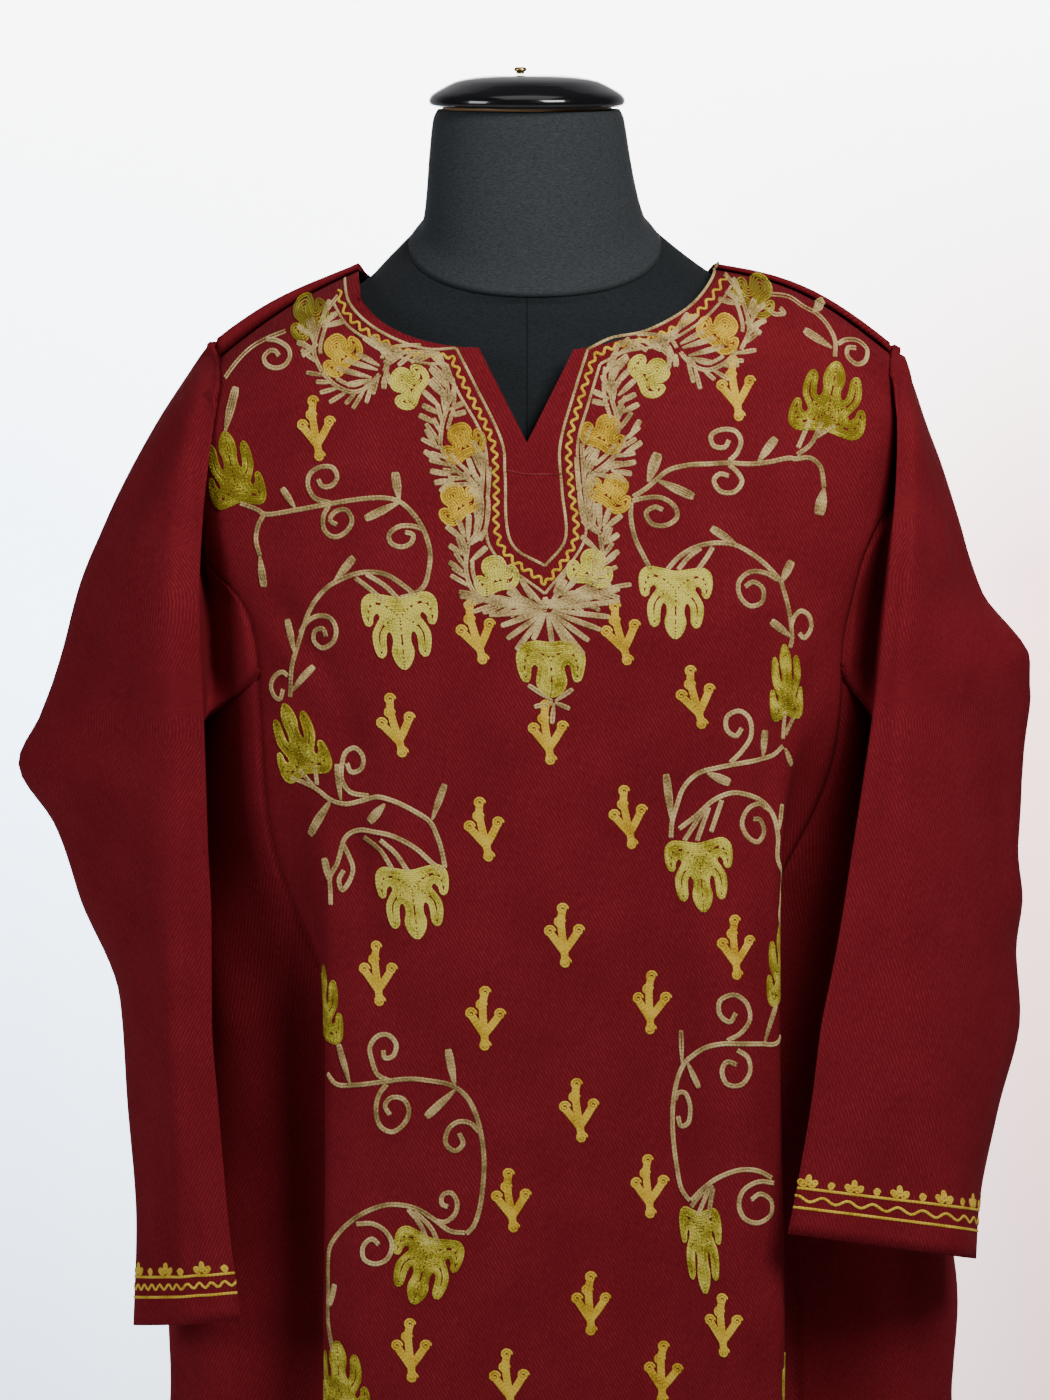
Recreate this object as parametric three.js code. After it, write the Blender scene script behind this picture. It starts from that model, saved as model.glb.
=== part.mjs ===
// A wool pheran worn on a limbless dress form that stands on a pole and a round base.
// Millimetres, +Z up. The garment's front faces -Y and the origin is the centre of the base on the floor.
// "left" and "right" are the sides as seen from the front: left is -X and right is +X.
import * as THREE from "three";
import { mergeVertices } from "three/addons/utils/BufferGeometryUtils.js";

// Driving dimensions of the garment.
const CLOTH = 1.4; // wall thickness of the wool twill
const SEAM_GAP = 0.7; // clearance between two sewn pieces
const HEM_Z = 352; // height of the hem above the floor
const UNDERARM_Z = 1168; // height of the lowest point of the armhole
const ROLL = 46; // height over which a panel rolls from the shoulder seam to the chest
const LOW_NECK_Z = 1272; // first level that every column of a panel reaches

// Centre line of the front: it hangs straight to here and then swings to the right.
const SWING = { fromZ: 1300, perMillimetre: 0.043 };

// Neckline and shoulder seam of each side: where they start and end, seen from the front.
const SIDES = {
  left: {
    sign: -1,
    neckX: 104,
    neckZ: 1402.6,
    tipX: 193,
    tipZ: 1346.5,
    bow: 5, // how far the seam rises over a straight line
    cornerX: 29, // where the slit opens into the round neckline
    cornerZ: 1362,
    round: 2.0, // power of the neckline's curve
    lipNeck: 2.2, // radius of the fold behind the seam, at the neck
    lipTip: 6.5, // and at the tip
  },
  right: {
    sign: 1,
    neckX: 116,
    neckZ: 1403.5,
    tipX: 226,
    tipZ: 1350,
    bow: 11,
    cornerX: 28,
    cornerZ: 1361,
    round: 1.45,
    lipNeck: 1.6,
    lipTip: 3.4,
  },
};

// Side edges of the front and back panels: distance from the centre at each height. Above
// the underarm this is the armhole seam and below it the seam that joins the side gore.
const PANEL_EDGES = {
  left: [
    { z: 352, front: 176, back: 184 },
    { z: 1168, front: 176, back: 184 },
    { z: 1190, front: 178, back: 187 },
    { z: 1210, front: 186, back: 194 },
    { z: 1230, front: 211, back: 206 },
    { z: 1250, front: 232, back: 218 },
    { z: 1280, front: 240, back: 226 },
    { z: 1310, front: 232, back: 222 },
    { z: 1335, front: 216, back: 208 },
    { z: 1346, front: 206, back: 202 },
    { z: 1362, front: 204, back: 200 },
  ],
  right: [
    { z: 352, front: 200, back: 192 },
    { z: 1168, front: 200, back: 192 },
    { z: 1190, front: 203, back: 195 },
    { z: 1210, front: 206, back: 202 },
    { z: 1230, front: 210, back: 214 },
    { z: 1250, front: 220, back: 228 },
    { z: 1280, front: 252, back: 244 },
    { z: 1310, front: 258, back: 248 },
    { z: 1335, front: 250, back: 242 },
    { z: 1350, front: 242, back: 236 },
    { z: 1362, front: 240, back: 234 },
  ],
};
const SLIT_TIP_Z = 1306; // bottom of the V slit
const BACK_NECK_DROP = 24; // depth of the back neckline under the neck points
const BACK_NECK_POWER = 2.6; // how square its curve is
const SEAM_Y = { neck: 2, tip: -2 }; // where the shoulder seam lies front to back

// Plain sections of the body, before folds: half widths to each side, depths, and squareness.
const BODY_ROWS = [
  { z: 1420, left: 207, right: 237, front: 96, back: 84, square: 2.7 },
  { z: 1370, left: 207, right: 237, front: 104, back: 90, square: 2.7 },
  { z: 1310, left: 208, right: 236, front: 119, back: 98, square: 2.7 },
  { z: 1250, left: 207, right: 228, front: 131, back: 104, square: 2.6 },
  { z: 1190, left: 204, right: 220, front: 140, back: 106, square: 2.6 },
  { z: 1100, left: 205, right: 218, front: 143, back: 106, square: 2.5 },
  { z: 1000, left: 207, right: 224, front: 146, back: 109, square: 2.4 },
  { z: 900, left: 208, right: 240, front: 148, back: 114, square: 2.4 },
  { z: 800, left: 220, right: 266, front: 151, back: 120, square: 2.4 },
  { z: 760, left: 225, right: 271, front: 152, back: 122, square: 2.4 },
  { z: 700, left: 221, right: 264, front: 153, back: 126, square: 2.4 },
  { z: 500, left: 227, right: 267, front: 158, back: 134, square: 2.4 },
  { z: 350, left: 235, right: 274, front: 163, back: 142, square: 2.4 },
];

// Folds of the body. "at" is the distance round the plain section from the front centre,
// or from the back centre where "face" is back. A step folds back past its edge and then
// eases out again; a wave is a soft ridge (positive depth) or trough (negative depth).
const FOLDS = [
  { kind: "step", face: "front", at: -124, edge: 13, ease: 88, depth: 44, fromZ: 1100, fullZ: 905 },
  { kind: "step", face: "front", at: 154, edge: 14, ease: 84, depth: 46, fromZ: 1150, fullZ: 980 },
  { kind: "wave", face: "front", at: -70, width: 46, depth: 5, fromZ: 1180, fullZ: 900 },
  { kind: "wave", face: "front", at: 78, width: 38, depth: -7, fromZ: 1200, fullZ: 950 },
  { kind: "wave", face: "front", at: 118, width: 34, depth: 6, fromZ: 1200, fullZ: 900 },
  { kind: "wave", face: "front", at: 8, width: 60, depth: -4, fromZ: 900, fullZ: 500 },
  { kind: "wave", face: "front", at: -262, width: 34, depth: 12, fromZ: 900, fullZ: 500 },
  { kind: "wave", face: "front", at: 300, width: 36, depth: 12, fromZ: 900, fullZ: 500 },
  { kind: "step", face: "back", at: -112, edge: 22, ease: 90, depth: 24, fromZ: 1120, fullZ: 760 },
  { kind: "step", face: "back", at: 126, edge: 22, ease: 84, depth: 28, fromZ: 1100, fullZ: 740 },
  { kind: "wave", face: "back", at: -48, width: 40, depth: 9, fromZ: 1200, fullZ: 760 },
  { kind: "wave", face: "back", at: 14, width: 34, depth: -9, fromZ: 1180, fullZ: 700 },
  { kind: "wave", face: "back", at: 70, width: 38, depth: 10, fromZ: 1150, fullZ: 720 },
];

// Sections of the sleeves, each line given as [distance out from the centre plane, y]. The
// crease is the front fold, the ridge a soft one beside it, the rim the outer edge, the rear
// the middle of the hidden face, and the inner the face beside the body under the arm.
const sleeveRow = (z, crease, ridge, rim, rear, inner) => ({
  z,
  creaseOut: crease[0],
  creaseY: crease[1],
  ridgeOut: ridge[0],
  ridgeY: ridge[1],
  rimOut: rim[0],
  rimY: rim[1],
  rearOut: rear[0],
  rearY: rear[1],
  innerOut: inner[0],
  innerY: inner[1],
});
const SLEEVES = {
  left: {
    cuffSlope: 0.2,
    slopeFromZ: 1000,
    topLevels: [1358, 1354, 1349, 1343, 1335, 1324, 1310, 1290],
    rows: [
      sleeveRow(1358, [195.4, -1], [196, 3], [196.4, 10], [195.2, 16], [0, 0]),
      sleeveRow(1349, [189, -30], [197, -14], [203, 5], [199, 26], [0, 0]),
      sleeveRow(1337, [187, -62], [201, -46], [211, 0], [205, 38], [0, 0]),
      sleeveRow(1311, [190, -83], [207, -74], [228, -4], [215, 50], [0, 0]),
      sleeveRow(1257, [196, -96], [214, -95], [257, -5], [226, 58], [0, 0]),
      sleeveRow(1210, [198, -106], [217, -108], [276, -8], [236, 56], [0, 0]),
      sleeveRow(1168, [199, -110], [218, -113], [288, -10], [242, 46], [209, -14]),
      sleeveRow(1130, [199, -111], [218, -114], [300, -10], [244, 36], [210, -24]),
      sleeveRow(1098, [198, -112], [217, -115], [316, -10], [244, 26], [210, -32]),
      sleeveRow(1062, [196, -114], [216, -117], [295, -12], [241, 10], [211, -42]),
      sleeveRow(1016, [194, -116], [216, -119], [279, -18], [238, -6], [212, -52]),
      sleeveRow(957, [191, -118], [216, -120], [252, -30], [231, -22], [212, -55]),
      sleeveRow(900, [187, -121], [212, -121], [247, -48], [229, -42], [211, -66]),
      sleeveRow(830, [181, -126], [208, -122], [241, -66], [225, -62], [206, -83]),
      sleeveRow(772, [174, -130], [206, -122], [243, -74], [223, -74], [200, -91]),
    ],
  },
  right: {
    cuffSlope: 0.27,
    slopeFromZ: 1020,
    topLevels: [1356, 1353, 1349, 1343, 1335, 1324, 1310, 1290],
    rows: [
      sleeveRow(1356, [227.2, 2], [227.8, 4], [228.8, 7], [228.3, 12], [0, 0]),
      sleeveRow(1347, [222, -38], [228, -24], [233, 1], [231, 24], [0, 0]),
      sleeveRow(1334, [223, -66], [232, -50], [238.5, -1], [236, 34], [0, 0]),
      sleeveRow(1312, [224, -82], [236, -74], [246, 0], [242, 46], [0, 0]),
      sleeveRow(1283, [223, -92], [235, -88], [257, 0], [247, 53], [0, 0]),
      sleeveRow(1249, [220, -103], [233, -104], [268, 0], [251, 56], [0, 0]),
      sleeveRow(1203, [215, -112], [229, -117], [282, -7], [258, 52], [0, 0]),
      sleeveRow(1162, [211, -117], [226, -122], [312, -10], [265, 42], [224, -16]),
      sleeveRow(1100, [202, -126], [226, -131], [306, -15], [265, 22], [223, -34]),
      sleeveRow(1050, [194, -133], [228, -137], [306, -21], [265, 6], [225, -50]),
      sleeveRow(1018, [189, -137], [231, -140], [309, -25], [265, -4], [228, -60]),
      sleeveRow(986, [183, -141], [236, -142], [303, -30], [265, -14], [230, -70]),
      sleeveRow(957, [177, -145], [241, -145], [305, -36], [266, -26], [233, -80]),
      sleeveRow(910, [171, -150], [248, -147], [290, -52], [267, -46], [235, -94]),
      sleeveRow(863, [163, -155], [254, -147], [277, -70], [262, -66], [232, -106]),
      sleeveRow(832, [157, -159], [260, -145], [273, -82], [256, -80], [226, -116]),
    ],
  },
};

// Sections of the dress form. x is the section's own centre; lean raises its back edge.
const TORSO_ROWS = [
  { z: 762, x: 0, half: 132, front: 92, back: 86, lean: 0 },
  { z: 772, x: 0, half: 146, front: 102, back: 96, lean: 0 },
  { z: 850, x: 0, half: 154, front: 106, back: 99, lean: 0 },
  { z: 930, x: 0, half: 146, front: 100, back: 92, lean: 0 },
  { z: 1010, x: 0, half: 126, front: 94, back: 80, lean: 0 },
  { z: 1100, x: 0, half: 138, front: 112, back: 86, lean: 0 },
  { z: 1180, x: 2, half: 156, front: 127, back: 93, lean: 0 },
  { z: 1250, x: 5, half: 172, front: 119, back: 93, lean: 0 },
  { z: 1310, x: 10, half: 182, front: 105, back: 88, lean: 0.02 },
  { z: 1340, x: 13, half: 180, front: 95, back: 78, lean: 0.02 },
  { z: 1358, x: 14, half: 170, front: 89, back: 70, lean: 0.03 },
  { z: 1374, x: 14, half: 150, front: 84, back: 64, lean: 0.05 },
  { z: 1387, x: 12, half: 125.8, front: 81, back: 61, lean: 0.09 },
  { z: 1397, x: 10, half: 108, front: 79, back: 60, lean: 0.16 },
  { z: 1407, x: 7, half: 94, front: 78, back: 60, lean: 0.26 },
  { z: 1419, x: 5, half: 78, front: 78, back: 60, lean: 0.36 },
];
const NECK_ROWS = [
  { z: 1419.4, x: 5, half: 78, front: 79, back: 60, lean: 0.36 },
  { z: 1425, x: 5, half: 74, front: 76.5, back: 58, lean: 0.34 },
  { z: 1432, x: 4.5, half: 69, front: 74, back: 56.5, lean: 0.3 },
  { z: 1450, x: 3, half: 65, front: 71, back: 54, lean: 0.2 },
  { z: 1476, x: 1.5, half: 61.5, front: 68, back: 50, lean: 0.08 },
  { z: 1497, x: 1, half: 58.5, front: 66, back: 46, lean: 0.02 },
  { z: 1502, x: 1, half: 56, front: 63, back: 43, lean: 0.01 },
];
const TORSO_LOW_LEVELS = [762, 764, 772];
const TORSO_TOP_LEVELS = [1322, 1340, 1353, 1365, 1376, 1385, 1394, 1403, 1411, 1419];
const NECK_LEVELS = [1419.4, 1424, 1430, 1440, 1455, 1476, 1492, 1499, 1502];

// Cap, peg, pole and base, as radii and heights.
const CAP = { y: -11, z: 1502.3, tilt: 0.01, rimRadius: 60.5, height: 17.5 };
const PLATE = { radius: 52, height: 2.6 };
const PEG = { x: -4, radius: 4, height: 4.2, shank: 2.4 };
const POLE = { radius: 16, foot: 30, collarRadius: 34, collarHeight: 22 };
const BASE = { radius: 195, edge: 9, crown: 28 };

// Colours, roughness and metalness of each finish.
const FINISH = {
  wool: { color: 0x6f1a22, roughness: 0.92, metalness: 0 },
  jersey: { color: 0x1b1f23, roughness: 0.85, metalness: 0 },
  gloss: { color: 0x0b0b0d, roughness: 0.15, metalness: 0 },
  plate: { color: 0x8a6238, roughness: 0.5, metalness: 0 },
  brass: { color: 0xc9a24a, roughness: 0.35, metalness: 1 },
  steel: { color: 0x2b2d30, roughness: 0.4, metalness: 1 },
  iron: { color: 0x17181a, roughness: 0.6, metalness: 0.6 },
};

// General helpers.
const mix = (a, b, t) => a + (b - a) * t;
const clamp01 = (t) => Math.min(1, Math.max(0, t));
const smooth = (t) => {
  const c = clamp01(t);
  return c * c * (3 - 2 * c);
};

const between = (low, high, steps) => Array.from({ length: steps + 1 }, (_, i) => mix(low, high, i / steps));

// A value of a table at height z, on a curve that does not overshoot its rows.
function tableAt(rows, key, z) {
  const descending = rows[0].z > rows[rows.length - 1].z;
  const list = descending ? [...rows].reverse() : rows;
  if (z <= list[0].z) return list[0][key];
  const last = list.length - 1;
  if (z >= list[last].z) return list[last][key];
  let i = 0;
  while (list[i + 1].z < z) i++;
  const slope = (k) => (list[k + 1][key] - list[k][key]) / (list[k + 1].z - list[k].z);
  const tangent = (k) => {
    if (k === 0) return slope(0);
    if (k === last) return slope(last - 1);
    const before = slope(k - 1);
    const after = slope(k);
    return before * after <= 0 ? 0 : (2 * before * after) / (before + after);
  };
  const h = list[i + 1].z - list[i].z;
  const t = (z - list[i].z) / h;
  const t2 = t * t;
  const t3 = t2 * t;
  return (
    (2 * t3 - 3 * t2 + 1) * list[i][key] +
    (t3 - 2 * t2 + t) * h * tangent(i) +
    (3 * t2 - 2 * t3) * list[i + 1][key] +
    (t3 - t2) * h * tangent(i + 1)
  );
}

// Several values of a table at height z.
const tableRow = (rows, keys, z) => Object.fromEntries(keys.map((key) => [key, tableAt(rows, key, z)]));

// The body's section at height z, as a closed line with its length round, cached by height.
const SECTION_POINTS = 720;
const sectionCache = new Map();
function sectionAt(z) {
  if (sectionCache.has(z)) return sectionCache.get(z);
  const row = tableRow(BODY_ROWS, ["left", "right", "front", "back", "square"], z);
  const plain = [];
  for (let i = 0; i < SECTION_POINTS; i++) {
    const angle = (i / SECTION_POINTS) * 2 * Math.PI;
    const power = 2 / row.square;
    const half = Math.sin(angle) < 0 ? row.left : row.right;
    const depth = Math.cos(angle) > 0 ? -row.front : row.back;
    plain.push([
      Math.sign(Math.sin(angle)) * half * Math.abs(Math.sin(angle)) ** power,
      depth * Math.abs(Math.cos(angle)) ** power,
    ]);
  }
  const arcs = lengthsOf(plain);
  const total = arcs[SECTION_POINTS];
  const backStart = arcs[SECTION_POINTS / 2];
  const folded = plain.map((p, i) => {
    const next = plain[(i + 1) % SECTION_POINTS];
    const before = plain[(i + SECTION_POINTS - 1) % SECTION_POINTS];
    const length = Math.hypot(next[0] - before[0], next[1] - before[1]);
    const normal = [(next[1] - before[1]) / length, -(next[0] - before[0]) / length];
    const push = foldPush(arcs[i], total, backStart, z);
    return [p[0] + normal[0] * push, p[1] + normal[1] * push];
  });
  const lengths = lengthsOf(folded);
  const centre = swingAt(z);
  const made = {
    line: folded,
    lengths,
    front: lengthWhere(folded, lengths, centre, -1),
    back: lengthWhere(folded, lengths, centre, 1),
  };
  sectionCache.set(z, made);
  return made;
}

// Lengths along a closed line of points, one more than the points.
function lengthsOf(line) {
  const lengths = [0];
  line.forEach((p, i) => {
    const next = line[(i + 1) % line.length];
    lengths.push(lengths[i] + Math.hypot(next[0] - p[0], next[1] - p[1]));
  });
  return lengths;
}

// How far the folds push the plain section outwards at a length along it. A step has a soft
// crest just inside its edge.
const CREST = { inside: 16, width: 20, height: 5 };
function foldPush(arc, total, backStart, z) {
  let push = 0;
  for (const fold of FOLDS) {
    const share = smooth((fold.fromZ - z) / (fold.fromZ - fold.fullZ));
    if (share === 0) continue;
    const start = fold.face === "front" ? 0 : backStart;
    const sense = fold.face === "front" ? 1 : -1;
    let along = (arc - start) * sense;
    along -= total * Math.round(along / total);
    if (fold.kind === "wave") {
      const t = Math.abs(along - fold.at) / fold.width;
      if (t < 1) push += fold.depth * share * (0.5 + 0.5 * Math.cos(Math.PI * t));
      continue;
    }
    const past = (along - fold.at) * Math.sign(fold.at);
    const drop = smooth(past / fold.edge) * (1 - smooth((past - fold.edge) / fold.ease));
    const crest = Math.exp(-(((past + CREST.inside) / CREST.width) ** 2));
    push -= share * (fold.depth * drop - CREST.height * crest);
  }
  return push;
}

function swingAt(z) {
  return Math.max(0, SWING.fromZ - z) * SWING.perMillimetre;
}

// The length along a section where it crosses a given x on its front (-1) or back (1).
function lengthWhere(line, lengths, x, face) {
  for (let i = 0; i < line.length; i++) {
    const a = line[i];
    const b = line[(i + 1) % line.length];
    if (Math.sign(a[1] + b[1]) !== face || (a[0] - x) * (b[0] - x) > 0 || a[0] === b[0]) continue;
    return mix(lengths[i], lengths[i + 1], (x - a[0]) / (b[0] - a[0]));
  }
  return face < 0 ? 0 : lengths[line.length / 2];
}

// The point of the hanging cloth at u millimetres from the centre of a face, at height z.
function bodyPoint(face, u, z) {
  const section = sectionAt(z);
  const total = section.lengths[SECTION_POINTS];
  let along = face === "front" ? section.front + u : section.back - u;
  along = ((along % total) + total) % total;
  let low = 0;
  let high = SECTION_POINTS;
  while (high - low > 1) {
    const middle = (low + high) >> 1;
    if (section.lengths[middle] <= along) low = middle;
    else high = middle;
  }
  const t = (along - section.lengths[low]) / (section.lengths[low + 1] - section.lengths[low]);
  const a = section.line[low];
  const b = section.line[(low + 1) % SECTION_POINTS];
  return [mix(a[0], b[0], t), mix(a[1], b[1], t)];
}

// Shoulder seam: its height, its place front to back and the radius of the fold behind it.
function shoulderAt(x) {
  const side = x < 0 ? SIDES.left : SIDES.right;
  const t = (Math.abs(x) - side.neckX) / (side.tipX - side.neckX);
  const bow = side.bow * Math.sin(Math.PI * clamp01(t));
  return {
    z: mix(side.neckZ, side.tipZ, t) + bow,
    y: mix(SEAM_Y.neck, SEAM_Y.tip, clamp01(t)),
    lip: mix(side.lipNeck, side.lipTip, smooth(t)),
  };
}

// Height of the front neckline at x, or of the slit near the centre.
function frontNeckAt(x) {
  const side = x < 0 ? SIDES.left : SIDES.right;
  const out = Math.abs(x);
  if (out < side.cornerX) return mix(SLIT_TIP_Z, side.cornerZ, out / side.cornerX);
  const t = clamp01((out - side.cornerX) / (side.neckX - side.cornerX));
  return mix(side.cornerZ, side.neckZ, 1 - (1 - t ** side.round) ** (1 / side.round));
}

function backNeckAt(x) {
  const side = x < 0 ? SIDES.left : SIDES.right;
  const t = clamp01(Math.abs(x) / side.neckX);
  return side.neckZ - BACK_NECK_DROP * Math.sqrt(1 - t ** BACK_NECK_POWER);
}

// A point of the worn cloth: the hanging section, rolled in towards the shoulder seam.
function wornPoint(face, u, z) {
  const [x, y] = bodyPoint(face, u, z);
  const seam = shoulderAt(x);
  const top = face === "front" ? seam.z : seam.z + 2 * seam.lip;
  const start = face === "front" ? seam.y - SEAM_GAP : seam.y + seam.lip;
  const q = clamp01((z - (top - ROLL)) / ROLL);
  return [x, start + (y - start) * Math.sqrt(Math.max(0, 1 - q * q)), z];
}

// How far round a panel its side edge lies at height z.
const panelEdge = (face, side, z) => tableAt(PANEL_EDGES[side.sign < 0 ? "left" : "right"], face, z);

// Where each column of a panel stands, as a share of its half width on each side.
const NECK_SHARES = [0, 0.07, 0.14, 0.22, 0.3, 0.38, 0.45, 0.51, 0.54];
const SHOULDER_SHARES = [0.57, 0.66, 0.76, 0.86, 0.94, 1];
const COLUMN_SHARES = [...NECK_SHARES, ...SHOULDER_SHARES];

// Heights between the top of a column and the first common level, and below it.
const UPPER_SHARES = [0, 0.01, 0.04, 0.1, 0.19, 0.32, 0.48, 0.66, 0.84, 1];
const ARM_LEVELS = [1250, 1228, 1206, 1186, 1168];
const LOWER_LEVELS = [...ARM_LEVELS, 1130, 1090, 1045, 1000, 955, 910, 860, 800, 720, 620, 490, HEM_Z];

// u of a column at height z: its share of the panel's edge, so that edges meet their seams.
const columnU = (face, side, share, z) => side.sign * share * (panelEdge(face, side, z) - SEAM_GAP / 2);

// The height where a column of the front or back starts, at its neckline or shoulder seam. It
// is found in rounds, each of which goes part of the way to the seam over the last place.
const TOP_ROUNDS = 12;
const TOP_SHARE = 0.7;
function columnTop(face, side, share) {
  let z = side.cornerZ;
  for (let i = 0; i < TOP_ROUNDS; i++) {
    const x = bodyPoint(face, columnU(face, side, share, z), z)[0];
    const neck = face === "front" ? frontNeckAt(x) : backNeckAt(x);
    z = mix(z, Math.abs(x) < side.neckX ? neck : shoulderAt(x).z, TOP_SHARE);
  }
  const x = bodyPoint(face, columnU(face, side, share, z), z)[0];
  return { z, onShoulder: Math.abs(x) >= side.neckX };
}

// One column of a panel from its top to the hem. The back starts with its shoulder fold.
const LIP_TURNS = [-0.5, -0.8, -1.1, -1.4];
const NECK_STEP = 0.8; // spacing of the same points where a column starts at the neckline
function panelColumn(face, side, share) {
  const top = columnTop(face, side, share);
  const points = [];
  const pointAt = (z) => wornPoint(face, columnU(face, side, share, z), z);
  let startZ = top.z;
  if (face === "back") {
    const x = pointAt(top.z)[0];
    const seam = shoulderAt(x);
    LIP_TURNS.forEach((turn, i) => {
      if (top.onShoulder) {
        const angle = turn * Math.PI;
        const around = [seam.y + seam.lip, seam.z + seam.lip + SEAM_GAP];
        points.push([x, around[0] + seam.lip * Math.cos(angle), around[1] + seam.lip * Math.sin(angle)]);
      } else points.push(pointAt(top.z - i * NECK_STEP));
    });
    startZ = top.onShoulder ? seam.z + 2 * seam.lip : top.z - LIP_TURNS.length * NECK_STEP;
  }
  for (const t of UPPER_SHARES) points.push(pointAt(mix(startZ, LOW_NECK_Z, t)));
  for (const z of LOWER_LEVELS) points.push(pointAt(z));
  return points;
}

// A sheet of points in columns, as triangles whose front faces point away from the body.
function sheetOf(columns, flip) {
  const rows = columns[0].length;
  const points = columns.flat();
  const faces = [];
  for (let c = 0; c + 1 < columns.length; c++)
    for (let r = 0; r + 1 < rows; r++) {
      const a = c * rows + r;
      const quad = [a, a + 1, a + rows + 1, a + rows];
      if (flip) quad.reverse();
      faces.push([quad[0], quad[1], quad[2]], [quad[0], quad[2], quad[3]]);
    }
  return { points, faces };
}

function panelSheet(face) {
  const leftColumns = [...COLUMN_SHARES].reverse().map((s) => panelColumn(face, SIDES.left, s));
  const rightColumns = COLUMN_SHARES.slice(1).map((s) => panelColumn(face, SIDES.right, s));
  return sheetOf([...leftColumns, ...rightColumns], face === "back");
}

// A side gore: from the front seam round to the back seam, under the arm.
const GORE_COLUMNS = 9;
const GORE_DROP = 2.5;
function goreSheet(side) {
  const columns = [];
  for (let c = 0; c <= GORE_COLUMNS; c++) {
    const levels = [UNDERARM_Z - GORE_DROP, ...LOWER_LEVELS.filter((z) => z < UNDERARM_Z)];
    columns.push(levels.map((z) => gorePoint(side, c / GORE_COLUMNS, z)));
  }
  return sheetOf(columns, side.sign < 0);
}

// The point a share of the way round a gore, between its front and its back seam.
function gorePoint(side, share, z) {
  const section = sectionAt(z);
  const total = section.lengths[SECTION_POINTS];
  const half = side.sign > 0 ? section.back - section.front : total - (section.back - section.front);
  const frontEdge = panelEdge("front", side, z) + SEAM_GAP;
  const backEdge = panelEdge("back", side, z) + SEAM_GAP;
  const wide = ((half % total) + total) % total - frontEdge - backEdge;
  const u = side.sign * (frontEdge + wide * share);
  return [...bodyPoint("front", u, z), z];
}

// A curve through key points, with a given number of steps from each to the next.
function threadThrough(keys, steps, closed) {
  const curve = new THREE.CatmullRomCurve3(keys.map((k) => new THREE.Vector3(...k)), closed, "centripetal");
  const spans = closed ? keys.length : keys.length - 1;
  const points = [];
  for (let i = 0; i < spans; i++)
    for (let j = 0; j < steps[i]; j++) points.push(curve.getPoint((i + j / steps[i]) / spans).toArray());
  if (!closed) points.push([...keys[keys.length - 1]]);
  return points;
}

// The point at height z of a panel's outermost columns.
const edgeCache = new Map();
function edgePoint(face, side, share, z) {
  const key = `${face} ${side.sign} ${share}`;
  if (!edgeCache.has(key)) edgeCache.set(key, panelColumn(face, side, share));
  const column = edgeCache.get(key);
  let i = column.length - 2;
  while (i > 0 && column[i][2] < z) i--;
  const t = clamp01((column[i][2] - z) / (column[i][2] - column[i + 1][2]));
  return [mix(column[i][0], column[i + 1][0], t), mix(column[i][1], column[i + 1][1], t)];
}

// The edge of an armhole at height z, on the front or the back panel, moved outwards. Above
// the front panel it is the end of the fold that the back panel makes over the shoulder.
// "lifted" moves the point straight out from the panel's surface.
const ARMHOLE_GAP = 1.9;
const INSIDE_EDGE = 0.94; // share of a panel's half width that gives its direction at the edge
function armholePoint(face, side, z, lifted = 0) {
  if (face === "front" && z > side.tipZ - 1) {
    const rise = z - (side.tipZ + side.lipTip + SEAM_GAP);
    const reach = Math.sqrt(Math.max(0, side.lipTip ** 2 - rise ** 2));
    return [side.sign * (side.tipX + ARMHOLE_GAP + lifted / 2), SEAM_Y.tip + side.lipTip - reach - lifted, z];
  }
  const [x, y] = edgePoint(face, side, 1, z);
  const [x2, y2] = edgePoint(face, side, INSIDE_EDGE, z);
  const length = Math.hypot(x - x2, y - y2);
  const along = [(x - x2) / length, (y - y2) / length];
  const turn = (face === "front" ? 1 : -1) * side.sign;
  const lift = lifted * turn;
  return [x + along[0] * ARMHOLE_GAP + along[1] * lift, y + along[1] * ARMHOLE_GAP - along[0] * lift, z];
}

// Moves a point that is inside the hanging cloth, or too near it, to a clear distance outside.
const SLEEVE_CLEARANCE = 2.8;
function clearOfBody([x, y, z]) {
  const { line } = sectionAt(z);
  let nearest = 0;
  let best = Infinity;
  line.forEach((p, i) => {
    const distance = (p[0] - x) ** 2 + (p[1] - y) ** 2;
    if (distance < best) {
      best = distance;
      nearest = i;
    }
  });
  const next = line[(nearest + 1) % line.length];
  const before = line[(nearest + line.length - 1) % line.length];
  const length = Math.hypot(next[0] - before[0], next[1] - before[1]);
  const normal = [(next[1] - before[1]) / length, -(next[0] - before[0]) / length];
  const outside = (x - line[nearest][0]) * normal[0] + (y - line[nearest][1]) * normal[1];
  const push = Math.max(0, SLEEVE_CLEARANCE - outside);
  return [x + normal[0] * push, y + normal[1] * push, z];
}

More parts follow.
